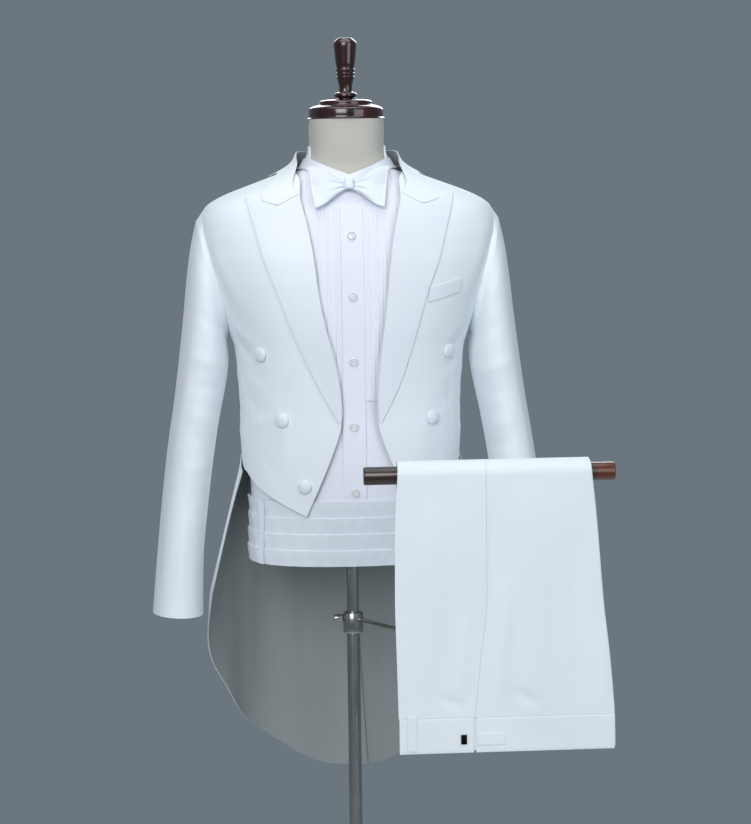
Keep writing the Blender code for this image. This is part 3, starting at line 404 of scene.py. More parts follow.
# Coat buttons, from the centre and their height, and shirt studs
BUTTONS = ((0.142, 1.142), (0.1155, 1.042), (0.084, 0.941))
BUTTON_SHIFT = (0.002, 0.006)
BUTTON_RADIUS = 0.0107
TOP_BUTTON_LIFT = 0.0005
STUD_HEIGHTS = (1.321, 1.229, 1.130, 1.031, 0.930)
STUD_RADIUS = 0.006448
STUD_SEAT = -0.0055

# Covered button, domed, and stud, a raised rim round a shallow dome: share of the radius, height
BUTTON_PROFILE = (
    (0.0, 0.0),
    (0.86, 0.0),
    (0.97, 0.0010),
    (1.0, 0.0020),
    (0.97, 0.0031),
    (0.86, 0.0042),
    (0.65, 0.0051),
    (0.35, 0.0057),
    (0.0, 0.0059),
)
STUD_PROFILE = (
    (0.0, 0.0),
    (0.90, 0.0),
    (1.0, 0.0006),
    (1.0, 0.0015),
    (0.94, 0.0023),
    (0.84, 0.0026),
    (0.76, 0.0022),
    (0.70, 0.0014),
    (0.50, 0.0016),
    (0.25, 0.0019),
    (0.0, 0.0020),
)

# Round pieces that are turned about the pole: radius and height
BASE_PROFILE = (
    (0.0, 0.0),
    (BASE_RADIUS, 0.0),
    (BASE_RADIUS, 0.006),
    (BASE_RADIUS - 0.008, 0.010),
    (0.060, 0.018),
    (0.024, 0.022),
    (0.024, SOCKET_TOP - 0.003),
    (0.021, SOCKET_TOP),
    (LOWER_POLE_RADIUS + 0.001, SOCKET_TOP),
    (LOWER_POLE_RADIUS + 0.001, SOCKET_FOOT),
    (0.0, SOCKET_FOOT),
)
CLAMP_PROFILE = (
    (POLE_RADIUS + SEAM, POLE_JOIN + 2 * SEAM),
    (CLAMP_RADIUS - 0.001, POLE_JOIN + 2 * SEAM),
    (CLAMP_RADIUS, 0.6960),
    (CLAMP_RADIUS, 0.7230),
    (CLAMP_RADIUS - 0.0015, CLAMP_TOP),
    (POLE_RADIUS + SEAM, CLAMP_TOP),
    (POLE_RADIUS + SEAM, POLE_JOIN + 2 * SEAM),
)
CAP_FOOT = FORM_TOP + SEAM
CAP_PROFILE = (
    (0.0, CAP_FOOT),
    (0.0555, CAP_FOOT),
    (0.0572, CAP_FOOT + 0.003),
    (0.0572, CAP_FOOT + 0.013),
    (0.0545, CAP_FOOT + 0.017),
    (0.0470, CAP_FOOT + 0.020),
    (0.0405, CAP_FOOT + 0.0215),
    (0.0400, CAP_FOOT + 0.026),
    (0.0340, CAP_FOOT + 0.0285),
    (0.0150, CAP_FOOT + 0.0300),
    (0.0110, 1.5262),
    (0.0155, 1.5275),
    (0.0175, 1.5310),
    (0.0155, 1.5345),
    (0.0105, 1.5365),
    (0.0102, 1.5450),
    (0.0125, 1.5550),
    (0.0142, 1.5590),
    (0.0128, 1.5605),
    (0.0146, 1.5640),
    (0.0131, 1.5660),
    (0.0150, 1.5695),
    (0.0136, 1.5725),
    (0.0150, 1.5800),
    (0.0165, 1.5950),
    (0.0177, 1.6070),
    (0.0168, 1.6120),
    (0.0120, 1.6165),
    (0.0090, 1.6180),
    (0.0, 1.6180),
)

# Flat pieces on the trousers: left, foot, right, top
WAISTBAND_BACK = (0.0475, TROUSER_FOOT, 0.1560, WAISTBAND_TOP)
WAISTBAND_FRONT = (0.1595, TROUSER_FOOT, 0.3628, WAISTBAND_TOP)
BELT_LOOP = (0.0590, 0.5765, 0.0735, 0.6300)
SIDE_TAB = (0.1610, 0.5840, 0.2015, 0.6020)
WAIST_FASTENER = (0.1370, 0.5860, 0.1455, 0.6000)
PATCHES = (
    ("waistband_back", WAISTBAND_BACK, WAISTBAND, "coat_cloth", 40, 18, 0.0006),
    ("waistband_front", WAISTBAND_FRONT, WAISTBAND, "coat_cloth", 64, 18, 0.0006),
    ("belt_loop", BELT_LOOP, ON_BAND, "coat_cloth", 8, 24, 0.0005),
    ("side_tab", SIDE_TAB, ON_BAND, "coat_cloth", 20, 10, 0.0005),
    ("waist_fastener", WAIST_FASTENER, FASTENER, "black_metal", 6, 8, 0.0006),
)

# Share of a leg's rows at its start, up to the bar, over it and at its end
LEG_SHARES = (0.0, 0.50, 0.70, 1.0)

# Lengths of leg: left edge's column and shift, right edge's, distances out, start, grid
LEFT_EDGE = 1
LEG_SEAM = 2
RIGHT_EDGE = 3
ABOVE_BAND = WAISTBAND_TOP + SEAM - TROUSER_FOOT
LEGS = (
    ("trouser_under_leg", (LEFT_EDGE, 0.003), (RIGHT_EDGE, 0.0015), UNDER_LEG, 0.003, 60, 150),
    ("trouser_back_panel", (LEFT_EDGE, 0.0), (LEG_SEAM, -SEAM / 2), OUTER_LEG, ABOVE_BAND, 48, 170),
    ("trouser_front_panel", (LEG_SEAM, SEAM / 2), (RIGHT_EDGE, 0.0), OUTER_LEG, ABOVE_BAND, 64, 170),
)
LEG_ROUNDING = (-0.02, -0.01, 0.0, 0.01, 0.02)


def smoothed(table, step=0.002, reach=7):
    """Read a table at even heights and round its corners by a running mean."""
    rows = np.array(table)
    heights = np.arange(rows[0, 0], rows[-1, 0], step)
    kernel = np.ones(reach) / reach
    columns = [heights]
    for index in range(1, rows.shape[1]):
        values = np.interp(heights, rows[:, 0], rows[:, index])
        padded = np.pad(values, reach // 2, mode="edge")
        columns.append(np.convolve(padded, kernel, mode="valid"))
    return columns


FIGURE_CURVES = smoothed(FIGURE)
SKIRT_CURVES = smoothed(SKIRT, reach=11)


def ease(value):
    """Go from 0 to 1 with soft ends."""
    value = min(max(value, 0.0), 1.0)
    return value * value * (3 - 2 * value)


def between(start, end, share):
    return start + (end - start) * share


def row_at(rows, share):
    """Read a table of rows at a share of its length, along a smooth curve."""
    last = len(rows) - 1
    place = min(max(share, 0.0), 1.0) * last
    index = min(int(place), last - 1)
    t = place - index
    before = np.array(rows[max(index - 1, 0)])
    start = np.array(rows[index])
    end = np.array(rows[index + 1])
    after = np.array(rows[min(index + 2, last)])
    bend = 2 * before - 5 * start + 4 * end - after
    twist = -before + 3 * start - 3 * end + after
    return 0.5 * (2 * start + (end - before) * t + bend * t * t + twist * t ** 3)


def skin(curves, angle, height):
    """Give the point of a body surface at an angle from the front, in degrees."""
    heights, widths, fronts, backs = curves
    turn = radians(angle)
    depths = fronts if cos(turn) > 0 else backs
    width = np.interp(height, heights, widths)
    depth = np.interp(height, heights, depths)
    swell = 1 + FIGURE_SQUARE * sin(2 * turn) ** 2
    return Vector((width * sin(turn) * swell, -depth * cos(turn) * swell, height))


def surface(curves, angle, height, out=0.0):
    """Move a point of a body surface out along its normal."""
    turn = 0.5
    rise = 0.004
    across = skin(curves, angle + turn, height) - skin(curves, angle - turn, height)
    along = skin(curves, angle, height + rise) - skin(curves, angle, height - rise)
    return skin(curves, angle, height) + across.cross(along).normalized() * out


def figure(angle, height, out=0.0):
    return surface(FIGURE_CURVES, angle, height, out)


def angle_of(across, height):
    """Find the angle of the figure that lies a distance from the centre plane."""
    low = 0.0
    high = 90.0
    for _ in range(24):
        middle = (low + high) / 2
        if skin(FIGURE_CURVES, middle, height).x < across:
            low = middle
        else:
            high = middle
    return high


def mirror_x(point, side):
    return Vector((side * point.x, point.y, point.z))


def trimmed(share, width, gap=SEAM):
    """Pull both ends of a 0 to 1 share in by half a seam's gap."""
    inset = gap / 2 / max(width, gap)
    return inset + share * (1 - 2 * inset)


def creased(across, along, creases):
    """Add up soft ridges and troughs at a flat spot of cloth.

    Each crease runs between two spots, with a width and a height, and fades at its ends.
    """
    total = 0.0
    for from_x, from_y, to_x, to_y, width, rise in creases:
        run_x = to_x - from_x
        run_y = to_y - from_y
        share = ((across - from_x) * run_x + (along - from_y) * run_y) / (run_x ** 2 + run_y ** 2)
        near = min(max(share, 0.0), 1.0)
        off = hypot(across - from_x - run_x * near, along - from_y - run_y * near) / width
        if off < 3:
            total += rise * exp(-off * off) * sin(pi * near) ** 0.7
    return total


# Folds, listed: start, end, width and height, in metres round the cloth and up
FRONT_CREASES = (
    (0.162, 1.128, 0.166, 0.985, 0.0022, -0.0011),
    (0.198, 1.190, 0.140, 1.150, 0.0090, 0.0020),
    (0.200, 1.165, 0.150, 1.120, 0.0075, -0.0014),
    (0.196, 1.110, 0.128, 1.082, 0.0080, 0.0015),
    (0.196, 1.075, 0.135, 1.052, 0.0070, -0.0012),
    (0.192, 1.030, 0.120, 1.040, 0.0090, 0.0013),
    (0.180, 1.320, 0.150, 1.210, 0.0160, 0.0022),
    (0.120, 1.080, 0.098, 0.960, 0.0110, 0.0014),
    (0.150, 0.990, 0.110, 0.945, 0.0080, -0.0010),
)
BACK_CREASES = (
    (0.330, 1.250, 0.380, 1.150, 0.0120, 0.0018),
    (0.345, 1.190, 0.410, 1.120, 0.0100, -0.0014),
    (0.370, 1.060, 0.460, 1.040, 0.0090, 0.0016),
    (0.380, 1.030, 0.455, 1.012, 0.0070, -0.0013),
    (0.400, 1.330, 0.470, 1.240, 0.0140, 0.0016),
)
SIDE_CREASES = (
    (0.215, 1.120, 0.300, 1.085, 0.0080, 0.0013),
    (0.215, 1.060, 0.320, 1.050, 0.0070, -0.0010),
    (0.215, 1.015, 0.330, 1.020, 0.0070, 0.0011),
)
SLEEVE_CREASES = (
    (0.150, 1.205, 0.070, 1.255, 0.0100, 0.0022),
    (0.155, 1.165, 0.060, 1.205, 0.0085, -0.0017),
    (0.160, 1.120, 0.050, 1.140, 0.0100, 0.0022),
    (0.150, 1.090, 0.062, 1.095, 0.0080, -0.0016),
    (0.158, 1.035, 0.060, 1.055, 0.0095, 0.0020),
    (0.150, 1.000, 0.075, 1.022, 0.0075, -0.0017),
    (0.155, 0.972, 0.068, 0.965, 0.0090, 0.0019),
    (0.148, 0.930, 0.080, 0.915, 0.0080, -0.0013),
    (0.094, 0.900, 0.088, 0.752, 0.0110, 0.0020),
    (0.055, 1.180, 0.045, 0.960, 0.0130, 0.0016),
    (0.024, 0.900, 0.030, 0.770, 0.0100, -0.0012),
    (0.205, 1.100, 0.290, 1.120, 0.0100, 0.0021),
    (0.200, 1.050, 0.285, 1.035, 0.0085, -0.0017),
    (0.205, 1.005, 0.270, 0.985, 0.0095, 0.0020),
    (0.245, 0.960, 0.262, 0.790, 0.0120, 0.0017),
    (0.138, 0.802, 0.139, 0.738, 0.0024, -0.0016),
)
TAIL_CREASES = (
    (0.320, 0.900, 0.345, 0.640, 0.0130, 0.0026),
    (0.385, 0.880, 0.400, 0.560, 0.0110, -0.0022),
    (0.455, 0.900, 0.470, 0.520, 0.0120, 0.0024),
    (0.515, 0.860, 0.520, 0.500, 0.0090, -0.0018),
    (0.260, 0.900, 0.290, 0.740, 0.0100, -0.0018),
)
SHIRT_CREASES = (
    (0.030, 1.020, 0.150, 0.960, 0.0060, 0.0011),
    (0.050, 0.975, 0.160, 0.940, 0.0050, -0.0011),
    (0.110, 1.000, 0.118, 0.915, 0.0045, 0.0012),
    (0.145, 0.990, 0.150, 0.915, 0.0045, -0.0010),
    (0.175, 0.985, 0.180, 0.915, 0.0050, 0.0012),
    (0.032, 1.060, 0.090, 0.930, 0.0060, 0.0009),
)
LEG_CREASES = (
    (0.182, 0.960, 0.186, 0.790, 0.0050, -0.0012),
    (0.240, 0.970, 0.255, 0.600, 0.0220, 0.0026),
    (0.300, 0.900, 0.322, 0.640, 0.0160, -0.0022),
    (0.205, 0.830, 0.196, 0.640, 0.0120, 0.0024),
    (0.100, 0.940, 0.092, 0.660, 0.0200, 0.0022),
    (0.062, 0.820, 0.070, 0.640, 0.0120, -0.0016),
    (0.145, 0.780, 0.138, 0.650, 0.0110, 0.0018),
    (0.215, 0.665, 0.250, 0.640, 0.0080, -0.0016),
    (0.105, 0.655, 0.145, 0.640, 0.0070, -0.0012),
    (0.345, 0.760, 0.350, 0.640, 0.0080, 0.0014),
)
LEG_SLACK = 1.5
REAR_CREASES = (
    (0.110, 1.060, 0.118, 1.265, 0.0150, 0.0022),
    (0.230, 1.050, 0.242, 1.270, 0.0180, 0.0025),
    (0.290, 1.080, 0.285, 1.260, 0.0120, -0.0018),
)
UNROLL_RADIUS = 0.165
RIGHT_FRONT_SHARE = 0.8
RIGHT_FRONT_SHIFT = (0.004, -0.011)

# Each cloth piece as it was cut: width, length, flat area, how it is held, what it rests on
CUTS = {
    "coat_front": (0.26, 0.53, 0.088, "draped", "shirt_front"),
    "coat_side": (0.12, 0.25, 0.0208, "draped", "form_torso"),
    "coat_back": (0.26, 0.44, 0.0967, "draped", "form_torso"),
    "coat_tail": (0.38, 0.55, 0.141, "hung", "coat_back"),
    "sleeve": (0.44, 0.65, 0.167, "hung", "coat_front"),
    "lapel": (0.14, 0.35, 0.0193, "folded", "coat_front"),
    "coat_collar": (0.48, 0.09, 0.0263, "folded", "form_torso"),
    "welt_pocket": (0.056, 0.024, 0.00122, "laid", "coat_front_right"),
    "shirt_front": (0.29, 0.59, 0.130, "draped", "form_torso"),
    "shirt_back": (0.62, 0.60, 0.267, "draped", "form_torso"),
    "shirt_bib": (0.056, 0.30, 0.0164, "laid", "shirt_front"),
    "shirt_placket": (0.036, 0.55, 0.0194, "laid", "shirt_bib_left"),
    "shirt_collar": (0.44, 0.08, 0.0214, "folded", "form_torso"),
    "tie_band": (0.45, 0.020, 0.0085, "stretched", "shirt_collar"),
    "bow_tie_front": (0.124, 0.060, 0.00554, "gathered", "bow_tie_back"),
    "bow_tie_back": (0.126, 0.063, 0.00564, "gathered", "tie_band"),
    "cummerbund_front": (0.48, 0.105, 0.0478, "stretched", "shirt_front"),
    "cummerbund_back": (0.45, 0.060, 0.0267, "stretched", "shirt_back"),
    "cummerbund_strip": (0.0105, 0.099, 0.00103, "laid", "cummerbund_front"),
    "trouser_under_leg": (0.31, 0.70, 0.208, "hung", "rail_bar"),
    "trouser_back_panel": (0.14, 0.65, 0.0854, "hung", "rail_bar"),
    "trouser_front_panel": (0.19, 0.65, 0.109, "hung", "rail_bar"),
    "waistband_back": (0.110, 0.054, 0.00594, "laid", "trouser_under_leg"),
    "waistband_front": (0.205, 0.054, 0.01105, "laid", "trouser_under_leg"),
    "belt_loop": (0.0155, 0.055, 0.00085, "laid", "waistband_back"),
    "side_tab": (0.042, 0.019, 0.00079, "laid", "waistband_front"),
}
PAIRED_BELOW = ("shirt_front", "coat_back", "coat_front")

# Rows of stitches: start and end, as shares across and up the piece, and how many
STITCHES = {
    "welt_pocket": ((0.04, 0.08, 0.04, 0.92, 6), (0.96, 0.08, 0.96, 0.92, 6)),
    "shirt_placket": ((0.13, 0.18, 0.13, 0.99, 130), (0.87, 0.18, 0.87, 0.99, 130)),
    "waistband_back": ((0.01, 0.05, 0.99, 0.05, 34), (0.01, 0.95, 0.99, 0.95, 34)),
    "waistband_front": ((0.01, 0.05, 0.99, 0.05, 64), (0.01, 0.95, 0.99, 0.95, 64)),
    "belt_loop": (
        (0.15, 0.04, 0.15, 0.96, 16),
        (0.85, 0.04, 0.85, 0.96, 16),
        (0.20, 0.05, 0.80, 0.05, 4),
    ),
    "side_tab": (
        (0.04, 0.10, 0.96, 0.10, 13),
        (0.04, 0.90, 0.96, 0.90, 13),
        (0.05, 0.15, 0.05, 0.85, 5),
    ),
}
STITCH_SHARES = (0.16, 0.84)
STITCH_WIDTH = 0.00045
STITCH_RISE = 0.00045

# Weave: a thread's width over its length, and how wide its sheen spreads
THREAD_SHAPE = 0.12
SHEEN_SPREAD = 0.45

# Grey of the coat's lining, darkened with painted shade for its inner faces, and the bare wood of
# the bar with how far from its end it starts and is full
LINING_AND_SHADE_GREY = (0.30, 0.335, 0.34)
BARE_WOOD = (0.115, 0.026, 0.012)
BARE_WOOD_START = 0.036
BARE_WOOD_FULL = 0.022

# Lamps: place, aim, width, height, power and colour
LAMPS = {
    "key": ((-1.2, -3.6, 2.6), (0.0, 0.0, 1.05), 2.2, 2.2, 90.0, (1.0, 0.985, 0.965)),
    "fill": ((2.2, -3.0, 1.7), (0.05, 0.0, 1.0), 2.0, 2.4, 32.0, (0.94, 0.97, 1.0)),
    "back": ((0.6, 3.0, 2.6), (0.0, 0.0, 1.0), 2.4, 1.6, 45.0, (0.96, 0.98, 1.0)),
    "top": ((0.0, -0.4, 3.6), (0.0, 0.0, 1.0), 2.4, 2.4, 30.0, (1.0, 1.0, 1.0)),
}

# Room, floor, and the camera where the photo was taken from
ROOM_COLOUR = (0.147, 0.181, 0.209)
FLOOR_RADIUS = 1.05
FLOOR_THICKNESS = 0.02
FLOOR_GAP = 0.0002
CAMERA_PLACE = Vector((-0.2116, -3.5912, 1.45))
CAMERA_AIM = Vector((0.0395, 0.0, 1.041))
CAMERA_LENS = 101.5
CAMERA_ROLL = -0.75


def links_of(material, *pairs):
    """Join node sockets, each pair being an output and an input."""
    for out, into in pairs:
        material.node_tree.links.new(out, into)


def shader(name, colour, roughness, metallic=0.0):
    """Start a finish of one colour and return it with its shader node."""
    made = bpy.data.materials.new(name)
    made.use_nodes = True
    principled = made.node_tree.nodes["Principled BSDF"]
    principled.inputs["Base Color"].default_value = (*colour, 1.0)
    principled.inputs["Roughness"].default_value = roughness
    principled.inputs["Metallic"].default_value = metallic
    return made, principled


def noise(made, source, scale, stretch, detail=2.0, roughness=0.5):
    """Add a noise texture whose grain is drawn out along its axes."""
    nodes = made.node_tree.nodes
    mapping = nodes.new("ShaderNodeMapping")
    mapping.inputs["Scale"].default_value = stretch
    texture = nodes.new("ShaderNodeTexNoise")
    texture.inputs["Scale"].default_value = scale
    texture.inputs["Detail"].default_value = detail
    texture.inputs["Roughness"].default_value = roughness
    links_of(made, (source, mapping.inputs["Vector"]))
    links_of(made, (mapping.outputs["Vector"], texture.inputs["Vector"]))
    return texture.outputs["Fac"]


def blended(made, factor, low, high, start=0.3, end=0.7):
    """Turn a factor into a colour between two."""
    ramp = made.node_tree.nodes.new("ShaderNodeValToRGB")
    ramp.color_ramp.elements[0].position = start
    ramp.color_ramp.elements[0].color = (*low, 1.0)
    ramp.color_ramp.elements[1].position = end
    ramp.color_ramp.elements[1].color = (*high, 1.0)
    links_of(made, (factor, ramp.inputs["Fac"]))
    return ramp.outputs["Color"]


def raised(made, principled, factor, strength, distance, below=None):
    """Raise a finish's fine relief by a factor, over another relief if there is one."""
    bump = made.node_tree.nodes.new("ShaderNodeBump")
    bump.inputs["Strength"].default_value = strength
    bump.inputs["Distance"].default_value = distance
    links_of(made, (factor, bump.inputs["Height"]))
    if below is not None:
        links_of(made, (below, bump.inputs["Normal"]))
    links_of(made, (bump.outputs["Normal"], principled.inputs["Normal"]))
    return bump.outputs["Normal"]


def woven(name, light, shade, roughness, sheen, thread, relief, twill=1.0):
    """Make a cloth whose warp and weft are two drawn-out noises along its own UV map."""
    made, principled = shader(name, light, roughness)
    principled.inputs["Sheen Weight"].default_value = sheen
    principled.inputs["Sheen Roughness"].default_value = SHEEN_SPREAD
    nodes = made.node_tree.nodes
    places = nodes.new("ShaderNodeTexCoord")
    fine = 1.0 / thread
    drawn = fine * THREAD_SHAPE
    warp = noise(made, places.outputs["UV"], 1.0, (fine, drawn * twill, 1.0))
    weft = noise(made, places.outputs["UV"], 1.0, (drawn, fine, 1.0))
    cross = nodes.new("ShaderNodeMath")
    cross.operation = "ADD"
    links_of(made, (warp, cross.inputs[0]), (weft, cross.inputs[1]))
    cloudy = noise(made, places.outputs["Object"], 7.0, (1.0, 1.0, 0.6), detail=3.0)
    colour = blended(made, cloudy, shade, light)
    links_of(made, (colour, principled.inputs["Base Color"]))
    slack = noise(made, places.outputs["Object"], 60.0, (1.0, 1.0, 0.5))
    soft = raised(made, principled, slack, strength=0.25, distance=0.0006)
    raised(made, principled, cross.outputs["Value"], strength=0.35, distance=relief, below=soft)
    return made


def tinted(made, factor, colour):
    """Mix a second colour into a finish, by a factor."""
    base = made.node_tree.nodes["Principled BSDF"].inputs["Base Color"]
    mixed = made.node_tree.nodes.new("ShaderNodeMix")
    mixed.data_type = "RGBA"
    mixed.inputs["B"].default_value = (*colour, 1.0)
    first = base.links[0].from_socket
    links_of(made, (factor, mixed.inputs["Factor"]), (first, mixed.inputs["A"]))
    links_of(made, (mixed.outputs["Result"], base))


def paint_lining_shade(cloth):
    """Paint the coat's inner faces a grey lining colour darkened with painted shade, where the
    attribute marks them inside.
    """
    side = cloth.node_tree.nodes.new("ShaderNodeAttribute")
    side.attribute_name = "lining_shade"
    tinted(cloth, side.outputs["Fac"], LINING_AND_SHADE_GREY)


def wooden(name, light, dark, roughness, coat, stretch):
    made, principled = shader(name, light, roughness)
    principled.inputs["Coat Weight"].default_value = coat
    principled.inputs["Coat Roughness"].default_value = 0.08
    places = made.node_tree.nodes.new("ShaderNodeTexCoord")
    grain = noise(made, places.outputs["Object"], 60.0, stretch, detail=4.0, roughness=0.6)
    colour = blended(made, grain, dark, light, start=0.35, end=0.72)
    links_of(made, (colour, principled.inputs["Base Color"]))
    raised(made, principled, grain, strength=0.06, distance=0.0003)
    return made


def redden(wood):
    """Let the bar's far end go reddish, as bare wood under worn stain."""
    nodes = wood.node_tree.nodes
    places = nodes.new("ShaderNodeTexCoord")
    split = nodes.new("ShaderNodeSeparateXYZ")
    reach = nodes.new("ShaderNodeMapRange")
    reach.inputs["From Min"].default_value = BAR_END - BARE_WOOD_START
    reach.inputs["From Max"].default_value = BAR_END - BARE_WOOD_FULL
    links_of(wood, (places.outputs["Object"], split.inputs["Vector"]))
    links_of(wood, (split.outputs["X"], reach.inputs["Value"]))
    tinted(wood, reach.outputs["Result"], BARE_WOOD)


def plated(name, colour, roughness, worn):
    """Make a plated metal whose polish varies a little."""
    made, principled = shader(name, colour, roughness, metallic=1.0)
    nodes = made.node_tree.nodes
    places = nodes.new("ShaderNodeTexCoord")
    haze = noise(made, places.outputs["Object"], 45.0, (1.0, 1.0, 0.25), detail=3.0)
    spread = nodes.new("ShaderNodeMapRange")
    spread.inputs["To Min"].default_value = roughness - 0.06
    spread.inputs["To Max"].default_value = roughness + 0.08
    links_of(made, (haze, spread.inputs["Value"]))
    links_of(made, (spread.outputs["Result"], principled.inputs["Roughness"]))
    links_of(made, (blended(made, haze, worn, colour), principled.inputs["Base Color"]))
    return made


def cloth_finishes():
    coat = woven("coat_cloth", light=(0.84, 0.90, 0.95), shade=(0.80, 0.86, 0.92),
                 roughness=0.82, sheen=0.25, thread=0.0007, relief=0.0001)
    # Painted shade on the coat's inner faces, over the grey of its lining
    paint_lining_shade(coat)
    satin = woven("satin", light=(0.81, 0.87, 0.95), shade=(0.78, 0.84, 0.92),
                  roughness=0.42, sheen=0.15, thread=0.0004, relief=0.00004, twill=0.5)
    shirt = woven("shirt_cloth", light=(0.86, 0.88, 0.98), shade=(0.82, 0.85, 0.96),
                  roughness=0.85, sheen=0.1, thread=0.0004, relief=0.00006)
    linen = woven("form_linen", light=(0.56, 0.55, 0.50), shade=(0.52, 0.51, 0.46),
                  roughness=0.9, sheen=0.2, thread=0.0009, relief=0.0002)
    return {"coat_cloth": coat, "satin": satin, "shirt_cloth": shirt, "form_linen": linen}


def pearly(name):
    """Make the studs' glossy pearl, a little cloudy."""
    made, principled = shader(name, (0.78, 0.80, 0.84), 0.18)
    principled.inputs["Coat Weight"].default_value = 0.6
    places = made.node_tree.nodes.new("ShaderNodeTexCoord")
    cloud = noise(made, places.outputs["Object"], 300.0, (1.0, 1.0, 1.0))
    colour = blended(made, cloud, (0.62, 0.66, 0.72), (0.85, 0.87, 0.9))
    links_of(made, (colour, principled.inputs["Base Color"]))
    return made


def stand_finishes():
    mahogany = wooden("mahogany", light=(0.060, 0.006, 0.008), dark=(0.014, 0.002, 0.003),
                      roughness=0.22, coat=0.8, stretch=(1.0, 1.0, 0.12))
    dark_wood = wooden("dark_wood", light=(0.045, 0.020, 0.014), dark=(0.012, 0.006, 0.005),
                       roughness=0.30, coat=0.5, stretch=(0.08, 1.0, 1.0))
    redden(dark_wood)
    steel = plated("steel", (0.50, 0.49, 0.47), roughness=0.24, worn=(0.40, 0.39, 0.37))
    black = plated("black_metal", (0.02, 0.02, 0.022), roughness=0.38, worn=(0.012, 0.012, 0.014))
    return {"mahogany": mahogany, "dark_wood": dark_wood, "steel": steel, "black_metal": black}


# Every finish, under the record's slot names
FINISHES = {**cloth_finishes(), "shirt_stud": pearly("shirt_stud"), **stand_finishes()}


def dress(node, mesh, finish, ending="made"):
    """Turn a mesh into the shown piece that stands for a node."""
    bmesh.ops.recalc_face_normals(mesh, faces=mesh.faces[:])
    if mesh.calc_volume(signed=True) < 0:
        bmesh.ops.reverse_faces(mesh, faces=mesh.faces[:])
    data = bpy.data.meshes.new(f"{node}_{ending}")
    mesh.to_mesh(data)
    mesh.free()
    data.shade_smooth()
    data.set_sharp_from_angle(angle=radians(SHARP_ANGLE))
    data.materials.append(FINISHES[finish])
    made = bpy.data.objects.new(data.name, data)
    bpy.context.scene.collection.objects.link(made)
    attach(made, "root")
    if ending == "made":
        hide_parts(node)
    return made


def stem_of(node):
    """Take the side off a node's name."""
    return node.removesuffix("_left").removesuffix("_right")


def declare(node):
    """Look up a cloth piece's cut and what it rests on, the two sides sharing one entry, and keep
    nothing of it.
    """
    stem = stem_of(node)
    width, length, area, held, below = CUTS[stem]
    if stem != node and below in PAIRED_BELOW:
        below += node[len(stem):]


def stitches(node, place, finish):
    """Lay a piece's rows of small stitches along its outer face."""
    mesh = bmesh.new()
    for u_a, v_a, u_b, v_b, count in STITCHES[node]:
        for index in range(count):
            spots = []
            for part in STITCH_SHARES:
                share = (index + part) / count
                spots.append((between(u_a, u_b, share), between(v_a, v_b, share)))
            start, end = [place(*spot, 1.0) for spot in spots]
            outward = (start - place(*spots[0], 0.0)).normalized()
            along = end - start
            across = along.cross(outward).normalized()
            turn = Matrix((along.normalized(), across, outward)).transposed().to_4x4()
            size = Matrix.Diagonal((along.length, STITCH_WIDTH, STITCH_RISE, 1.0))
            middle = Matrix.Translation((start + end) / 2)
            bmesh.ops.create_cube(mesh, size=1.0, matrix=middle @ turn @ size)
    return dress(node, mesh, finish, "stitches")


def lay_flat(mesh, flat, cut):
    """Give each corner its place on the flat cloth, in metres."""
    width, length = cut
    layer = mesh.loops.layers.uv.new("UVMap")
    for face in mesh.faces:
        for loop in face.loops:
            across, along = flat[loop.vert.index]
            loop[layer].uv = (across * width, along * length)


def wall(node, place, across, along, finish):
    """Make one closed wall of cloth from a grid, each point set by place(u, v, w)."""
    mesh = bmesh.new()
    bmesh.ops.create_grid(mesh, x_segments=across, y_segments=along, size=0.5)
    bmesh.ops.solidify(mesh, geom=mesh.faces[:], thickness=1.0)
    mesh.verts.index_update()
    cloth = stem_of(node) in CUTS
    if cloth:
        flat = [(vert.co.x + 0.5, vert.co.y + 0.5) for vert in mesh.verts]
        lay_flat(mesh, flat, CUTS[stem_of(node)][:2])
    # Mark the coat pieces' inner faces for their grey lining darkened with painted shade
    lining_shade = mesh.verts.layers.float.new("lining_shade")
    for vert in mesh.verts:
        outside = abs(vert.co.z) > 0.5
        vert[lining_shade] = 1.0 if node.startswith("coat_") and not outside else 0.0
        vert.co = place(vert.co.x + 0.5, vert.co.y + 0.5, 1.0 if outside else 0.0)
    made = dress(node, mesh, finish)
    sewn = [stitches(node, place, finish)] if node in STITCHES else []
    if cloth:
        declare(node)
    return made


def tube(node, place, sides, rings, finish):
    """Make a closed wall round a hollow: a grid that runs down outside and back inside."""
    steps = 2 * rings + 2
    mesh = bmesh.new()
    bmesh.ops.create_grid(mesh, x_segments=sides, y_segments=steps, size=0.5)
    mesh.verts.index_update()
    flat = []
    spots = []
    for vert in mesh.verts:
        step = round((vert.co.y + 0.5) * steps) % steps
        outside = step <= rings
        share = (step if outside else steps - 1 - step) / rings
        flat.append((vert.co.x + 0.5, share))
        spots.append(place((vert.co.x + 0.5) % 1.0, share, 1.0 if outside else 0.0))
    lay_flat(mesh, flat, CUTS[stem_of(node)][:2])
    for vert, spot in zip(mesh.verts, spots):
        vert.co = spot
    bmesh.ops.remove_doubles(mesh, verts=mesh.verts[:], dist=TOUCHING)
    made = dress(node, mesh, finish)
    declare(node)
    return made


def spun(profile, sides):
    """Spin a closed profile of (radius, height) pairs about the upright axis."""
    mesh = bmesh.new()
    verts = [mesh.verts.new((radius, 0.0, height)) for radius, height in profile]
    edges = [mesh.edges.new(pair) for pair in zip(verts, verts[1:])]
    bmesh.ops.spin(mesh, geom=verts + edges, cent=(0, 0, 0), axis=(0, 0, 1), dvec=(0, 0, 0),
                   angle=2 * pi, steps=sides, use_merge=True, use_duplicate=False)
    bmesh.ops.remove_doubles(mesh, verts=mesh.verts[:], dist=TOUCHING)
    return mesh


def turned(node, profile, finish, sides=96):
    """Turn a round piece of the stand about the pole's axis."""
    return dress(node, spun(profile[::-1], sides), finish)


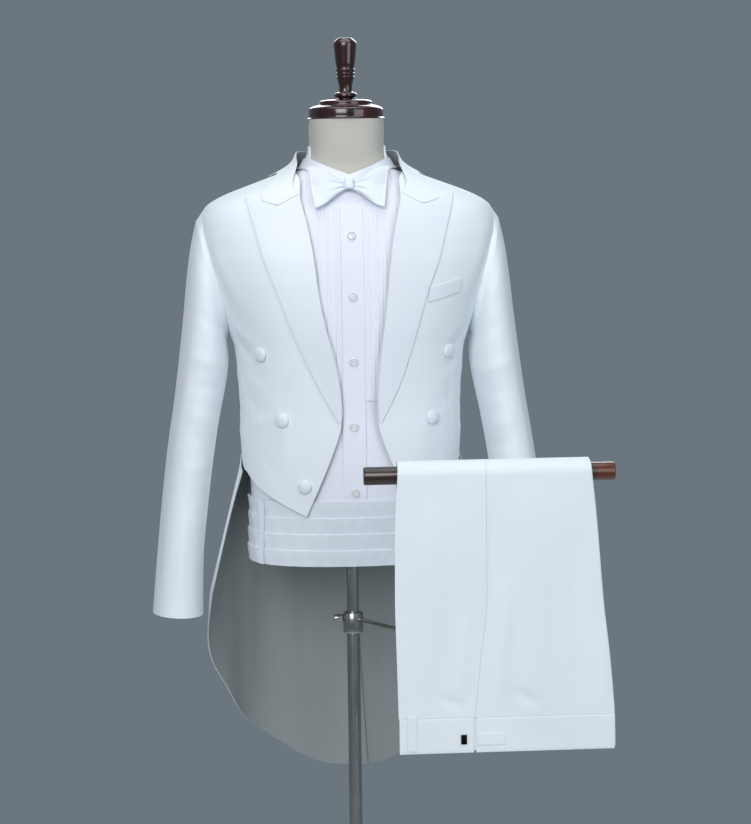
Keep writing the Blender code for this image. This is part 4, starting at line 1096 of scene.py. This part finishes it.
def rod(node, start, end, radius, finish, sides=48):
    """Make a round bar between two points, its ends rounded."""
    mesh = bmesh.new()
    bmesh.ops.create_cone(mesh, cap_ends=True, segments=sides, radius1=radius, radius2=radius,
                          depth=(end - start).length)
    rims = [edge for edge in mesh.edges if abs(edge.verts[0].co.z - edge.verts[1].co.z) < TOUCHING]
    bmesh.ops.bevel(mesh, geom=rims, offset=radius * ROD_BEVEL, segments=4, profile=0.5,
                    affect="EDGES", material=-1)
    turn = (end - start).to_track_quat("Z", "Y").to_matrix().to_4x4()
    bmesh.ops.transform(mesh, matrix=Matrix.Translation((start + end) / 2) @ turn,
                        verts=mesh.verts[:])
    return dress(node, mesh, finish)


def knob(node, centre, facing, radius, profile, finish):
    """Turn a small round piece, its profile given in shares of its radius, and set it on cloth."""
    mesh = spun([(radius * share, height) for share, height in profile[::-1]], 40)
    turn = facing.to_track_quat("Z", "Y").to_matrix().to_4x4()
    bmesh.ops.transform(mesh, matrix=Matrix.Translation(centre) @ turn, verts=mesh.verts[:])
    return dress(node, mesh, finish)


def flat_spot(angle, height):
    """Give where a point of the body lies on cloth that is unrolled."""
    return radians(angle) * UNROLL_RADIUS, height


def figure_sheet(curves, side, ends, layer, shape):
    """Make place(u, v, w) for a panel between two edges of a body surface.

    ends(v) gives the outer edge's angle and height and then the inner edge's.
    shape(u, v, angle, height) gives how far a point moves out and how far it drops.
    """
    def place(u, v, w):
        v = trimmed(v, PANEL_LENGTH)
        angle_a, height_a, angle_b, height_b = ends(v)
        start = surface(curves, angle_a, height_a)
        width = (surface(curves, angle_b, height_b) - start).length
        u = trimmed(u, width)
        angle = between(angle_a, angle_b, u)
        height = between(height_a, height_b, u)
        rise, drop = shape(u, v, angle, height)
        point = surface(curves, angle, height - drop, between(*layer, w) + rise)
        return mirror_x(point, side)
    return place


def front_rise(side, angle, height):
    """Give how far the front's folds stand out, the two sides a little unlike."""
    across, along = flat_spot(angle, height)
    if side < 0:
        return creased(across, along, FRONT_CREASES)
    across += RIGHT_FRONT_SHIFT[0]
    along += RIGHT_FRONT_SHIFT[1]
    return RIGHT_FRONT_SHARE * creased(across, along, FRONT_CREASES)


def waist_height(angle):
    """Give the height of the waist seam, which rises from the side to the back."""
    share = (angle - SIDE_SEAM) / (BACK_SEAM_TOP - SIDE_SEAM)
    return between(WAIST_FRONT, WAIST_BACK, ease(share))


def sway(side, height):
    """Shift the front edges to the viewer's right below the chest, as the coat hangs."""
    return side * CENTRE_SWAY * ease((SWAY_TOP - height) / SWAY_REACH)


def edge_angle(side, across, height):
    return angle_of(across + sway(side, height), height)


def armhole_foot(angle):
    """Give the height of the armhole's lower half at an angle."""
    share = (angle - ARM_ANGLE) / ARM_SPREAD
    return ARM_HEIGHT - ARM_REACH * sqrt(max(1 - share * share, 0.0))


def back_seam(height):
    """Give the angle of the seam between the side and the back."""
    drop = BACK_SEAM_BEND - height
    return BACK_SEAM_TOP + BACK_SEAM_TURN * ease(drop / (BACK_SEAM_BEND - WAIST_BACK))


def coat_front(side, label):
    def ends(v):
        angle, height, across, low = row_at(FRONT_ROWS, v)
        if height < armhole_foot(SIDE_SEAM):
            angle = SIDE_SEAM
        return angle, height, edge_angle(side, across, low), low

    def shape(u, v, angle, height):
        return front_rise(side, angle, height), 0.0
    place = figure_sheet(FIGURE_CURVES, side, ends, COAT, shape)
    return wall("coat_front_" + label, place, 44, 80, "coat_cloth")


def coat_side(side, label):
    def place(u, v, w):
        u = trimmed(u, SIDE_BODY_WIDTH, 3 * SEAM)
        v = trimmed(v, SIDE_BODY_LENGTH)
        top_angle = between(SIDE_SEAM, BACK_SEAM_TOP, u)
        foot_angle = between(SIDE_SEAM, back_seam(WAIST_BACK), u)
        height = between(waist_height(foot_angle), armhole_foot(top_angle), v)
        angle = between(SIDE_SEAM, back_seam(height), u)
        rise = creased(*flat_spot(angle, height), SIDE_CREASES)
        return mirror_x(figure(angle, height, between(*COAT, w) + rise), side)
    return wall("coat_side_" + label, place, 24, 36, "coat_cloth")


def coat_back(side, label):
    def ends(v):
        angle, height, inner, low = row_at(BACK_ROWS, v ** BACK_CROWDING)
        if height < armhole_foot(BACK_SEAM_TOP):
            angle = back_seam(height)
        return angle, height, min(inner, CENTRE_BACK), min(low, BACK_ROWS[0][3])

    def shape(u, v, angle, height):
        return creased(*flat_spot(angle, height), BACK_CREASES), 0.0
    place = figure_sheet(FIGURE_CURVES, side, ends, COAT, shape)
    return wall("coat_back_" + label, place, 36, 72, "coat_cloth")


def tail_fold(angle, height):
    """Give how far a tail's soft folds stand out at a point."""
    grown = ease((TAIL_WAVE_TOP - height) / TAIL_WAVE_REACH)
    return TAIL_WAVE * grown * cos(2 * pi * (angle - CENTRE_BACK) / TAIL_WAVE_ANGLE)


def coat_tail(side, label):
    tuck = TAIL_TUCK if side < 0 else 0.0
    reach = 0.0 if side < 0 else TAIL_OVERLAP

    def ends(v):
        angle, height, inner, low = row_at(TAIL_ROWS, v)
        return angle, height, min(inner, TAIL_EDGE_ANGLE) - reach * ease(v / TAIL_OVERLAP_SHARE), low

    def shape(u, v, angle, height):
        drop = TAIL_HEM_DROP * sin(pi * u) * ease((v - TAIL_HEM_START) / (1 - TAIL_HEM_START))
        if v < TAIL_WAIST_SHARE:
            lift = 1 - v / TAIL_WAIST_SHARE
            drop = (height - waist_height(angle)) * lift + TAIL_GAP
        inside = tuck * ease((angle - TAIL_TUCK_START) / TAIL_TUCK_TURN)
        slack = creased(*flat_spot(angle, height), TAIL_CREASES)
        slack *= 1 - ease((angle - TAIL_TUCK_START) / TAIL_TUCK_TURN)
        return tail_fold(angle, height) - inside + slack, drop
    place = figure_sheet(SKIRT_CURVES, side, ends, COAT, shape)
    return wall("coat_tail_" + label, place, 72, 80, "coat_cloth")


def sleeve_ring(row):
    """Turn a row of the sleeve table into its outer and inner points and its half depth."""
    outer_x, outer_z, inner_x, inner_z, middle_y, half_depth = row
    outer = Vector((outer_x, middle_y, outer_z))
    inner = Vector((inner_x, middle_y, inner_z))
    return outer, inner, half_depth


def sleeve_point(turn, share):
    """Give a point on the outside of a sleeve, share 0 at the armhole and 1 at the cuff."""
    tilt = 2 * pi * turn
    angle = ARM_ANGLE - ARM_SPREAD * SLEEVE_EASE * sin(tilt)
    height = ARM_HEIGHT + ARM_REACH * SLEEVE_EASE * cos(tilt)
    seam = figure(angle, height, SLEEVE_SEAT)
    row = row_at(SLEEVE_ROWS, (share - SLEEVE_HEAD) / (1 - SLEEVE_HEAD))
    outer, inner, half_depth = sleeve_ring(row)
    middle = (outer + inner) / 2
    ring = middle + (outer - middle) * cos(tilt) - Vector((0, half_depth, 0)) * sin(tilt)
    if share >= SLEEVE_HEAD:
        return ring, middle
    centre = figure(ARM_ANGLE, ARM_HEIGHT, ON_COAT)
    return seam.lerp(ring, share / SLEEVE_HEAD), centre.lerp(middle, share / SLEEVE_HEAD)


def sleeve(side, label):
    slip = 0.0 if side < 0 else SLEEVE_SLIP

    def place(turn, share, w):
        point, middle = sleeve_point(turn, share)
        inward = (middle - point).normalized()
        fold = creased(2 * pi * turn * SLEEVE_ROUND, point.z + slip, SLEEVE_CREASES)
        fold *= ease((share - SLEEVE_FOLDS_START) / SLEEVE_FOLDS_GROW)
        fold *= ease((1 - share) / SLEEVE_FOLDS_FADE)
        return mirror_x(point + inward * (SLEEVE_WALL * (1 - w) - fold), side)
    return tube("sleeve_" + label, place, 112, 110, "coat_cloth")


def notched(share):
    """Give how far the lapel's top edge dips, straight down to the notch and up to the peak."""
    down = share / LAPEL_NOTCH
    up = (1 - share) / (1 - LAPEL_NOTCH)
    return LAPEL_TOP_DIP * min(down, up, LAPEL_NOTCH_DEPTH)


def lapel(side, label):
    def place(u, v, w):
        roll, roll_height, edge, edge_height = row_at(LAPEL_ROWS, v)
        dip = notched(u) * ease(1 - v / LAPEL_TOP_SHARE)
        height = between(roll_height, edge_height, u) - dip
        angle = edge_angle(side, between(roll, edge, u), height)
        rise = front_rise(side, angle, height)
        return mirror_x(figure(angle, height, between(*LAPEL, w) + rise), side)
    return wall("lapel_" + label, place, 28, 84, "satin")


def gorge(across):
    """Give the height of the lapel's top edge, which the collar's end lies along."""
    roll, roll_height, edge, edge_height = LAPEL_ROWS[0]
    share = min(max((across - roll) / (edge - roll), 0.0), 1.0)
    return between(roll_height, edge_height, share) - notched(share)


def coat_collar():
    def place(u, v, w):
        side = 1 if u > 0.5 else -1
        share = abs(u - 0.5) * 2
        fold_angle, fold_height, leaf_angle, leaf_height = row_at(COLLAR_ROWS, share)
        angle = between(fold_angle, leaf_angle, v)
        height = between(fold_height, leaf_height, v)
        across = LAPEL_ROWS[0][0] + COLLAR_END * v
        end_height = gorge(across) + GORGE_GAP
        ended = max((share - COLLAR_END_SHARE) / (1 - COLLAR_END_SHARE), 0.0)
        angle = between(angle, angle_of(across, end_height), ended)
        height = between(height, end_height, ended)
        lift = COLLAR_LIFT * (1 - ease((share - COLLAR_FRONT_SHARE) / (1 - COLLAR_FRONT_SHARE)))
        lift *= 1 - COLLAR_LAID * ease(v)
        tuck = 0.0 if v > 0 else COLLAR_TUCK + COLLAR_LIFT
        tuck *= ease((angle - COLLAR_TUCK_START) / COLLAR_TUCK_TURN)
        return mirror_x(figure(angle, height, between(*COLLAR, w) + lift - tuck), side)
    return wall("coat_collar", place, 120, 10, "coat_cloth")


def welt_pocket():
    def place(u, v, w):
        upper = [between(a, b, u) for a, b in zip(*WELT_TOP)]
        lower = [between(a, b, u) for a, b in zip(*WELT_FOOT)]
        across = between(lower[0], upper[0], v)
        height = between(lower[1], upper[1], v)
        angle = angle_of(across, height)
        rise = front_rise(1, angle, height)
        return figure(angle, height, between(*WELT, w) + rise)
    return wall("welt_pocket", place, 30, 10, "satin")


def coat_buttons():
    """Make the covered buttons, three to a side, the right row a little off as it was sewn."""
    shift, rise = BUTTON_SHIFT
    for side in (-1, 1):
        for row, (across, height) in enumerate(BUTTONS):
            angle = edge_angle(side, across, height)
            if side > 0:
                angle = angle_of(across + shift, height + rise)
            lift = TOP_BUTTON_LIFT if row == 0 else 0.0
            lift += front_rise(side, angle, height)
            spot = mirror_x(figure(angle, height, ON_COAT + lift), side)
            facing = spot - mirror_x(figure(angle, height), side)
            count = row + 1 if side < 0 else row + 1 + len(BUTTONS)
            knob(f"coat_button_{count}", spot, facing, BUTTON_RADIUS, BUTTON_PROFILE, "satin")


def neckline(angle):
    """Give the height of the shirt's neck edge, low at the front."""
    return between(*NECKLINE, ease(abs(angle) / NECKLINE_TURN))


def shirt_armhole(height):
    """Give how far the shirt's armhole has cut in from the side seam, in degrees."""
    share = (height - ARM_HEIGHT) / (ARM_REACH - SHIRT_ARMHOLE_INSET)
    return SHIRT_ARMHOLE_TURN * sqrt(max(1 - share * share, 0.0))


def shirt_side(height, back):
    cut = shirt_armhole(height)
    return 90.0 + cut if back else 90.0 - cut


def shirt_height(v, angle):
    """Give a height on the shirt, its last stretch running up to the neckline."""
    if v < SHIRT_TOP_SHARE:
        return between(*SHIRT_SPAN, v / SHIRT_TOP_SHARE)
    return between(SHIRT_SPAN[1], neckline(angle), (v - SHIRT_TOP_SHARE) / (1 - SHIRT_TOP_SHARE))


def shirt_front(side, label):
    def place(u, v, w):
        u = trimmed(u, SHIRT_FRONT_WIDTH)
        height = shirt_height(v, between(90.0, 0.0, u))
        angle = between(shirt_side(height, False), 0.0, u)
        rise = creased(*flat_spot(angle, height + SHIRT_SLIP * side), SHIRT_CREASES)
        return mirror_x(figure(angle, height, between(*SHIRT, w) + rise), side)
    return wall("shirt_front_" + label, place, 60, 84, "shirt_cloth")


def shirt_back():
    def place(u, v, w):
        turn = between(-1.0, 1.0, u)
        height = shirt_height(v, 180.0 - 90.0 * abs(turn))
        seam = shirt_side(height, True) + degrees(SEAM / 2 / FIGURE_RADIUS)
        angle = between(180.0, seam, abs(turn))
        side = 1 if turn > 0 else -1
        return mirror_x(figure(angle, height, between(*SHIRT, w)), side)
    return wall("shirt_back", place, 40, 48, "shirt_cloth")


def shirt_bib(side, label):
    """Make the bib with its pleats, each rising slowly to a turned edge that drops sharply."""
    profile = [(BIB_INNER, 0.0)]
    for seam, edge in zip(PLEATS[::2], PLEATS[1::2]):
        profile += [(seam + step, rise) for step, rise in PLEAT_SEAM]
        profile.append((between(seam, edge, PLEAT_CROWN), PLEAT_RISE))
        profile += [(edge + step, rise) for step, rise in PLEAT_EDGE]
    profile += [(across, 0.0) for across in (*BIB_PLAIN, BIB_OUTER)]
    columns = len(profile) - 1

    def place(u, v, w):
        across, rise = profile[round(u * columns)]
        height = between(BIB_FOOT, BIB_TOP, v)
        angle = angle_of(across, height)
        return mirror_x(figure(angle, height, between(*BIB, w) + rise * w), side)
    return wall("shirt_bib_" + label, place, columns, 40, "shirt_cloth")


def shirt_placket():
    """Lay the placket on the bibs, with a hem down each side, its foot behind the cummerbund."""
    def place(u, v, w):
        across = between(-PLACKET_HALF, PLACKET_HALF, u)
        height = between(PLACKET_FOOT, BIB_TOP, v)
        stepped = ease((height - PLACKET_STEP + PLACKET_STEP_HALF) / (2 * PLACKET_STEP_HALF))
        low = between(PLACKET_END[0], PLACKET[0], stepped)
        high = between(PLACKET_END[1], PLACKET[1], stepped)
        hem = PLACKET_HEM * ease((abs(across) - PLACKET_HEM_START) / PLACKET_HEM_REACH) * stepped
        side = 1 if across > 0 else -1
        out = between(low, high, w) + hem * w
        return mirror_x(figure(angle_of(abs(across), height), height, out), side)
    return wall("shirt_placket", place, 24, 110, "shirt_cloth")


def shirt_studs():
    for count, height in enumerate(STUD_HEIGHTS, 1):
        spot = figure(0.0, height, STUD_SEAT)
        facing = spot - figure(0.0, height, FORM)
        knob(f"shirt_stud_{count}", spot, facing, STUD_RADIUS, STUD_PROFILE, "shirt_stud")


def collar_top(angle):
    """Give the shirt collar's upper edge, cut down to a V at the throat."""
    slant = sin(radians(min(abs(angle), COLLAR_SLANT_TURN))) / sin(radians(COLLAR_SLANT_TURN))
    corner = ease((abs(angle) - COLLAR_SLANT_TURN) / COLLAR_CORNER_TURN)
    return COLLAR_V + COLLAR_SLANT * slant + COLLAR_CORNER * corner


def shirt_collar():
    def place(turn, v, w):
        angle = between(-180.0, 180.0, turn)
        low = neckline(angle) - COLLAR_SEAM
        height = between(collar_top(angle), low, v)
        fold = COLLAR_FOLD * ease(1 - v / COLLAR_FOLD_SHARE)
        inner, outer = SHIRT_COLLAR
        return figure(angle, height, between(inner - fold, outer + fold, w))
    return tube("shirt_collar", place, 144, 20, "shirt_cloth")


def tie_band():
    def place(turn, v, w):
        angle = between(-180.0, 180.0, turn)
        middle = between(*TIE_MIDDLE, ease(abs(angle) / TIE_TURN))
        height = middle + between(TIE_HALF, -TIE_HALF, v)
        return figure(angle, height, between(*TIE_BAND, w))
    return tube("tie_band", place, 144, 6, "satin")


def bow_outline(across, grow):
    """Give the half height of the bow at a distance from its knot."""
    share = min(abs(across) / BOW_HALF, 1.0)
    return between(BOW_WAIST, BOW_END + grow, ease(share * BOW_FLARE))


def gathers(reach, level, side):
    """Draw a wing in toward the knot, in lobes that open out toward its end."""
    length, shift, relief = WING_FOLDS[side]
    grown = ease((reach - GATHER_START) * GATHER_GROWTH)
    grown *= 1 - ease((reach - GATHER_FULL) / length)
    lean = level * (1 - GATHER_FAN * reach) + shift
    return 0.5 * relief * (1 - cos(GATHER_LOBES * pi * lean)) ** GATHER_SHARPNESS * grown


def bow_part(node, half_width, depth, thickness, puff, grow, relief):
    """Make one layer of the bow, leaning back along the throat and puffed between its ends."""
    def place(u, v, w):
        run = 2 * u - 1
        level = 2 * v - 1
        reach = abs(run)
        x = half_width * run + BOW_SLANT * level * run
        z = BOW_MIDDLE + level * bow_outline(x, grow) - BOW_DROOP * reach
        slope = BOW_SLOPE if z < BOW_MIDDLE else BOW_UPPER_SLOPE
        back = BOW_DEPTH - (BOW_MIDDLE - z) * slope + depth
        swell = puff * sin(pi * min(reach * BOW_PUFF_REACH, 1.0)) * (1 - level ** 2)
        drawn = relief * gathers(reach, level, 1 if run > 0 else -1)
        front = max(thickness + swell - drawn, BOW_LEAST)
        return Vector((x + BOW_SHIFT, back - w * front, z))
    return wall(node, place, 96, 60, "satin")


def bow_knot():
    """Make the knot, a soft block that is drawn in at its middle and rippled at its ends."""
    depth, height = KNOT_SIZE[1:]
    mesh = bmesh.new()
    bmesh.ops.create_cube(mesh, size=1.0)
    bmesh.ops.scale(mesh, vec=KNOT_SIZE, verts=mesh.verts[:])
    bmesh.ops.bevel(mesh, geom=mesh.edges[:], offset=KNOT_BEVEL, segments=5, profile=0.5,
                    affect="EDGES", material=-1)
    bmesh.ops.subdivide_edges(mesh, edges=mesh.edges[:], cuts=2, use_grid_fill=True)
    for vert in mesh.verts:
        x, y, z = vert.co
        end = ease((abs(z) - KNOT_RIPPLE_START) / KNOT_RIPPLE_REACH)
        vert.co.y = y - KNOT_RIPPLE * cos(x * 2 * pi / KNOT_RIPPLE_STEP) * end
        vert.co.x = x * (1 - KNOT_WAIST * (1 - abs(z) / (height / 2)))
    tilt = Matrix.Rotation(-atan2(KNOT_SLOPE, 1.0), 4, "X")
    facing = tilt @ Vector((0, -1, 0))
    seat = Vector((BOW_SHIFT, BOW_DEPTH - KNOT_DEPTH, BOW_MIDDLE))
    seat += facing * (depth / 2 + KNOT_GAP)
    bmesh.ops.transform(mesh, matrix=Matrix.Translation(seat) @ tilt, verts=mesh.verts[:])
    return dress("bow_tie_knot", mesh, "satin")


def bow_tie():
    for layer in BOW_LAYERS:
        bow_part(*layer)
    bow_knot()


def pleat_swell(share):
    """Give a pleat's swell from its foot, where it goes under the next, to its turned edge."""
    return between(share, ease(share * CUMMERBUND_SWELL), CUMMERBUND_SOFTNESS)


def cummerbund_drag(angle, level):
    """Give how far the front is dragged in, from 0 to 1, in two slow waves."""
    waves = [share * sin(angle * turn + level * climb) for share, turn, climb in CUMMERBUND_WAVES]
    return 0.5 + sum(waves)


def cummerbund_front():
    levels = []
    for pleat in range(CUMMERBUND_PLEATS):
        for row in CUMMERBUND_ROWS:
            levels.append(((pleat + row) / CUMMERBUND_PLEATS, pleat_swell(row)))
    levels.append((1.0, 1.0))

    def place(u, v, w):
        angle = between(-CUMMERBUND_TURN, CUMMERBUND_TURN, u)
        level, swell = levels[round(v * (len(levels) - 1))]
        height = between(*CUMMERBUND_SPAN, level)
        folds = CUMMERBUND_RISE * swell - CUMMERBUND_DRAG * cummerbund_drag(angle, level)
        return figure(angle, height, between(*CUMMERBUND, w) + w * folds)
    return wall("cummerbund_front", place, 160, len(levels) - 1, "satin")


def cummerbund_back():
    def place(u, v, w):
        half = CENTRE_BACK - CUMMERBUND_TURN - degrees(SEAM / 2 / FIGURE_RADIUS)
        angle = between(CENTRE_BACK - half, CENTRE_BACK + half, u)
        return figure(angle, between(*STRAP_SPAN, v), between(*CUMMERBUND_BACK, w))
    return wall("cummerbund_back", place, 96, 12, "satin")


def cummerbund_strip(side, label):
    def place(u, v, w):
        angle = between(*STRIP_ANGLES, u)
        height = between(*STRIP_SPAN, v)
        return mirror_x(figure(angle, height, between(*CUMMERBUND_STRIP, w)), side)
    return wall("cummerbund_strip_" + label, place, 6, 40, "satin")


def form_torso():
    """Make the limbless form: rings up the figure, closed at the foot and the neck."""
    rows = 150
    sides = 96
    mesh = bmesh.new()
    bmesh.ops.create_grid(mesh, x_segments=sides, y_segments=rows, size=0.5)
    mesh.verts.index_update()
    flat = [(vert.co.x + 0.5, vert.co.y + 0.5) for vert in mesh.verts]
    lay_flat(mesh, flat, FORM_CLOTH)
    for vert in mesh.verts:
        angle = 360.0 * ((vert.co.x + 0.5) % 1.0) - 180.0
        height = between(FORM_FOOT, FORM_TOP, vert.co.y + 0.5)
        out = FORM + FORM_NECK * ease((height - FORM_NECK_FOOT) / FORM_NECK_RISE)
        vert.co = figure(angle, height, out)
        if min(abs(height - FORM_FOOT), abs(height - FORM_TOP)) < TOUCHING:
            vert.co.z = height
    bmesh.ops.remove_doubles(mesh, verts=mesh.verts[:], dist=TOUCHING)
    rims = [edge for edge in mesh.edges if edge.is_boundary]
    bmesh.ops.holes_fill(mesh, edges=rims, sides=0)
    dress("form_torso", mesh, "form_linen")


def on_axis(height):
    return Vector((0.0, 0.0, height))


def rounded(profile, cuts=5):
    """Round a turned profile's corners with a smooth curve through its points."""
    points = [profile[0]]
    last = len(profile) - 1
    for index in range(last):
        for step in range(1, cuts + 1):
            radius, height = row_at(profile, (index + step / cuts) / last)
            points.append((max(float(radius), 0.0), float(height)))
    points[-1] = profile[-1]
    return points


def stand():
    turned("stand_base", BASE_PROFILE, "steel", 128)
    foot = on_axis(SOCKET_FOOT + SEAM)
    join = on_axis(POLE_JOIN)
    rod("lower_pole", foot, join, LOWER_POLE_RADIUS, "steel")
    rod("upper_pole", join + on_axis(SEAM), on_axis(FORM_FOOT - SEAM), POLE_RADIUS, "steel")
    turned("pole_clamp", CLAMP_PROFILE, "steel", 64)
    inner = Vector((-CLAMP_RADIUS - 2 * SEAM, 0.0, SCREW_LEVEL))
    outer = Vector((-SCREW_END, 0.0, SCREW_LEVEL))
    rod("thumb_screw", inner, outer, SCREW_RADIUS, "steel")


def rail():
    foot = Vector((BAR_MIDDLE, BAR_DEPTH, 0.0))
    direction = foot.normalized()
    level = on_axis(ARM_LEVEL)
    arm_start = direction * (CLAMP_RADIUS + SEAM) + level
    arm_end = foot - direction * (UPRIGHT_RADIUS + SEAM) + level
    rod("rail_arm", arm_start, arm_end, ARM_RADIUS, "steel")
    upright_foot = foot + on_axis(UPRIGHT_FOOT)
    upright_top = foot + on_axis(BAR_HEIGHT - BAR_RADIUS - SEAM)
    rod("rail_upright", upright_foot, upright_top, UPRIGHT_RADIUS, "steel")
    bar_start = Vector((BAR_START, BAR_DEPTH, BAR_HEIGHT))
    bar_end = Vector((BAR_END, BAR_DEPTH, BAR_HEIGHT))
    rod("rail_bar", bar_start, bar_end, BAR_RADIUS, "dark_wood", 64)


def over_rail(distance, radius):
    """Follow the rail's profile: up the front, over the top and down behind."""
    if distance < FRONT_FALL:
        return BAR_DEPTH - radius, TROUSER_FOOT + distance
    if distance < FRONT_FALL + BEND:
        turn = pi * (distance - FRONT_FALL) / BEND
        return BAR_DEPTH - radius * cos(turn), BAR_HEIGHT + radius * sin(turn)
    return BAR_DEPTH + radius, BAR_HEIGHT - (distance - FRONT_FALL - BEND)


def leg_stop(share, start):
    """Give the distance along the leg, with close steps over the rail."""
    stops = (start, FRONT_FALL, FRONT_FALL + BEND, FRONT_FALL + BEND + REAR_FALL)
    return float(np.interp(share, LEG_SHARES, stops))


def leg_edge(distance, column):
    """Read a column of the leg's table at a distance along it, its corners rounded."""
    levels = [row[0] for row in LEG_EDGES]
    edges = [row[column] for row in LEG_EDGES]
    total = 0.0
    for shift in LEG_ROUNDING:
        total += float(np.interp(TROUSER_FOOT + distance + shift, levels, edges))
    return total / len(LEG_ROUNDING)


def leg_rise(across, distance):
    """Give how far the leg's folds stand out, in front of the rail and behind it."""
    level = TROUSER_FOOT + distance
    return LEG_SLACK * creased(across, level, LEG_CREASES) + creased(across, level, REAR_CREASES)


def leg_wall(node, left, right, radii, start, across, along):
    """Make a length of cloth over the rail between two of the leg's edges, each with its shift."""
    def place(u, v, w):
        distance = leg_stop(v, start)
        edge_a = leg_edge(distance, left[0]) + left[1]
        edge_b = leg_edge(distance, right[0]) + right[1]
        x = between(edge_a, edge_b, u)
        y, z = over_rail(distance, between(*radii, w) + leg_rise(x, distance))
        return Vector((x, y, z))
    return wall(node, place, across, along, "coat_cloth")


def flat_patch(node, corners, layer, finish, across, along, dip):
    """Make a flat piece on the front fall, its outer rim dipping in a little."""
    left, foot, right, top = corners

    def place(u, v, w):
        x = between(left, right, u)
        z = between(foot, top, v)
        out = between(*layer, w) + leg_rise(x, z - TROUSER_FOOT)
        rim = min(u, 1 - u) * (right - left), min(v, 1 - v) * (top - foot)
        if w > 0.5 and min(rim) < TOUCHING:
            out -= dip
        return Vector((x, BAR_DEPTH - BAR_RADIUS - out, z))
    return wall(node, place, across, along, finish)


def trousers():
    for leg in LEGS:
        leg_wall(*leg)
    for patch in PATCHES:
        flat_patch(*patch)


def lay_floor():
    """Lay a small pale floor under the stand."""
    mesh = bmesh.new()
    bmesh.ops.create_cone(mesh, cap_ends=True, segments=96, radius1=FLOOR_RADIUS,
                          radius2=FLOOR_RADIUS, depth=FLOOR_THICKNESS)
    bmesh.ops.translate(mesh, vec=(0, 0, -FLOOR_THICKNESS / 2 - FLOOR_GAP), verts=mesh.verts[:])
    data = bpy.data.meshes.new("pale_floor")
    mesh.to_mesh(data)
    mesh.free()
    made, principled = shader("floor_paint", (0.62, 0.64, 0.66), 0.7)
    places = made.node_tree.nodes.new("ShaderNodeTexCoord")
    dust = noise(made, places.outputs["Object"], 6.0, (1.0, 1.0, 1.0), detail=3.0)
    colour = blended(made, dust, (0.60, 0.62, 0.64), (0.64, 0.66, 0.68))
    links_of(made, (colour, principled.inputs["Base Color"]))
    data.materials.append(made)
    floor = bpy.data.objects.new("pale_floor", data)
    bpy.context.scene.collection.objects.link(floor)


def set_world():
    world = bpy.data.worlds.new("slate_room")
    world.use_nodes = True
    background = world.node_tree.nodes["Background"]
    background.inputs["Color"].default_value = (*ROOM_COLOUR, 1.0)
    background.inputs["Strength"].default_value = 1.0
    bpy.context.scene.world = world


def set_lamps():
    for name, (place, aim, width, height, power, colour) in LAMPS.items():
        lamp = bpy.data.lights.new(name, "AREA")
        lamp.shape = "RECTANGLE"
        lamp.size = width
        lamp.size_y = height
        lamp.energy = power
        lamp.color = colour
        holder = bpy.data.objects.new(name, lamp)
        holder.location = place
        holder.rotation_euler = (Vector(aim) - Vector(place)).to_track_quat("-Z", "Y").to_euler()
        bpy.context.scene.collection.objects.link(holder)


def set_camera():
    """Stand the camera where the photo was taken from, rolled as the photo is."""
    lens = bpy.data.cameras.new("camera")
    lens.lens = CAMERA_LENS
    lens.sensor_width = 36.0
    camera = bpy.data.objects.new("camera", lens)
    camera.location = CAMERA_PLACE
    turn = (CAMERA_AIM - CAMERA_PLACE).to_track_quat("-Z", "Y").to_matrix().to_4x4()
    roll = Matrix.Rotation(radians(CAMERA_ROLL), 4, "Z")
    camera.rotation_euler = (turn @ roll).to_euler()
    bpy.context.scene.collection.objects.link(camera)
    bpy.context.scene.camera = camera
    bpy.context.scene.view_settings.view_transform = "Standard"


def build():
    set_camera()
    form_torso()
    turned("neck_cap", rounded(CAP_PROFILE), "mahogany")
    stand()
    rail()
    for side, label in ((-1, "left"), (1, "right")):
        coat_front(side, label)
        coat_side(side, label)
        coat_back(side, label)
        coat_tail(side, label)
        sleeve(side, label)
        lapel(side, label)
        shirt_front(side, label)
        shirt_bib(side, label)
        cummerbund_strip(side, label)
    shirt_back()
    coat_collar()
    welt_pocket()
    coat_buttons()
    shirt_placket()
    shirt_studs()
    shirt_collar()
    tie_band()
    bow_tie()
    cummerbund_front()
    cummerbund_back()
    trousers()
    lay_floor()
    set_world()
    set_lamps()


build()
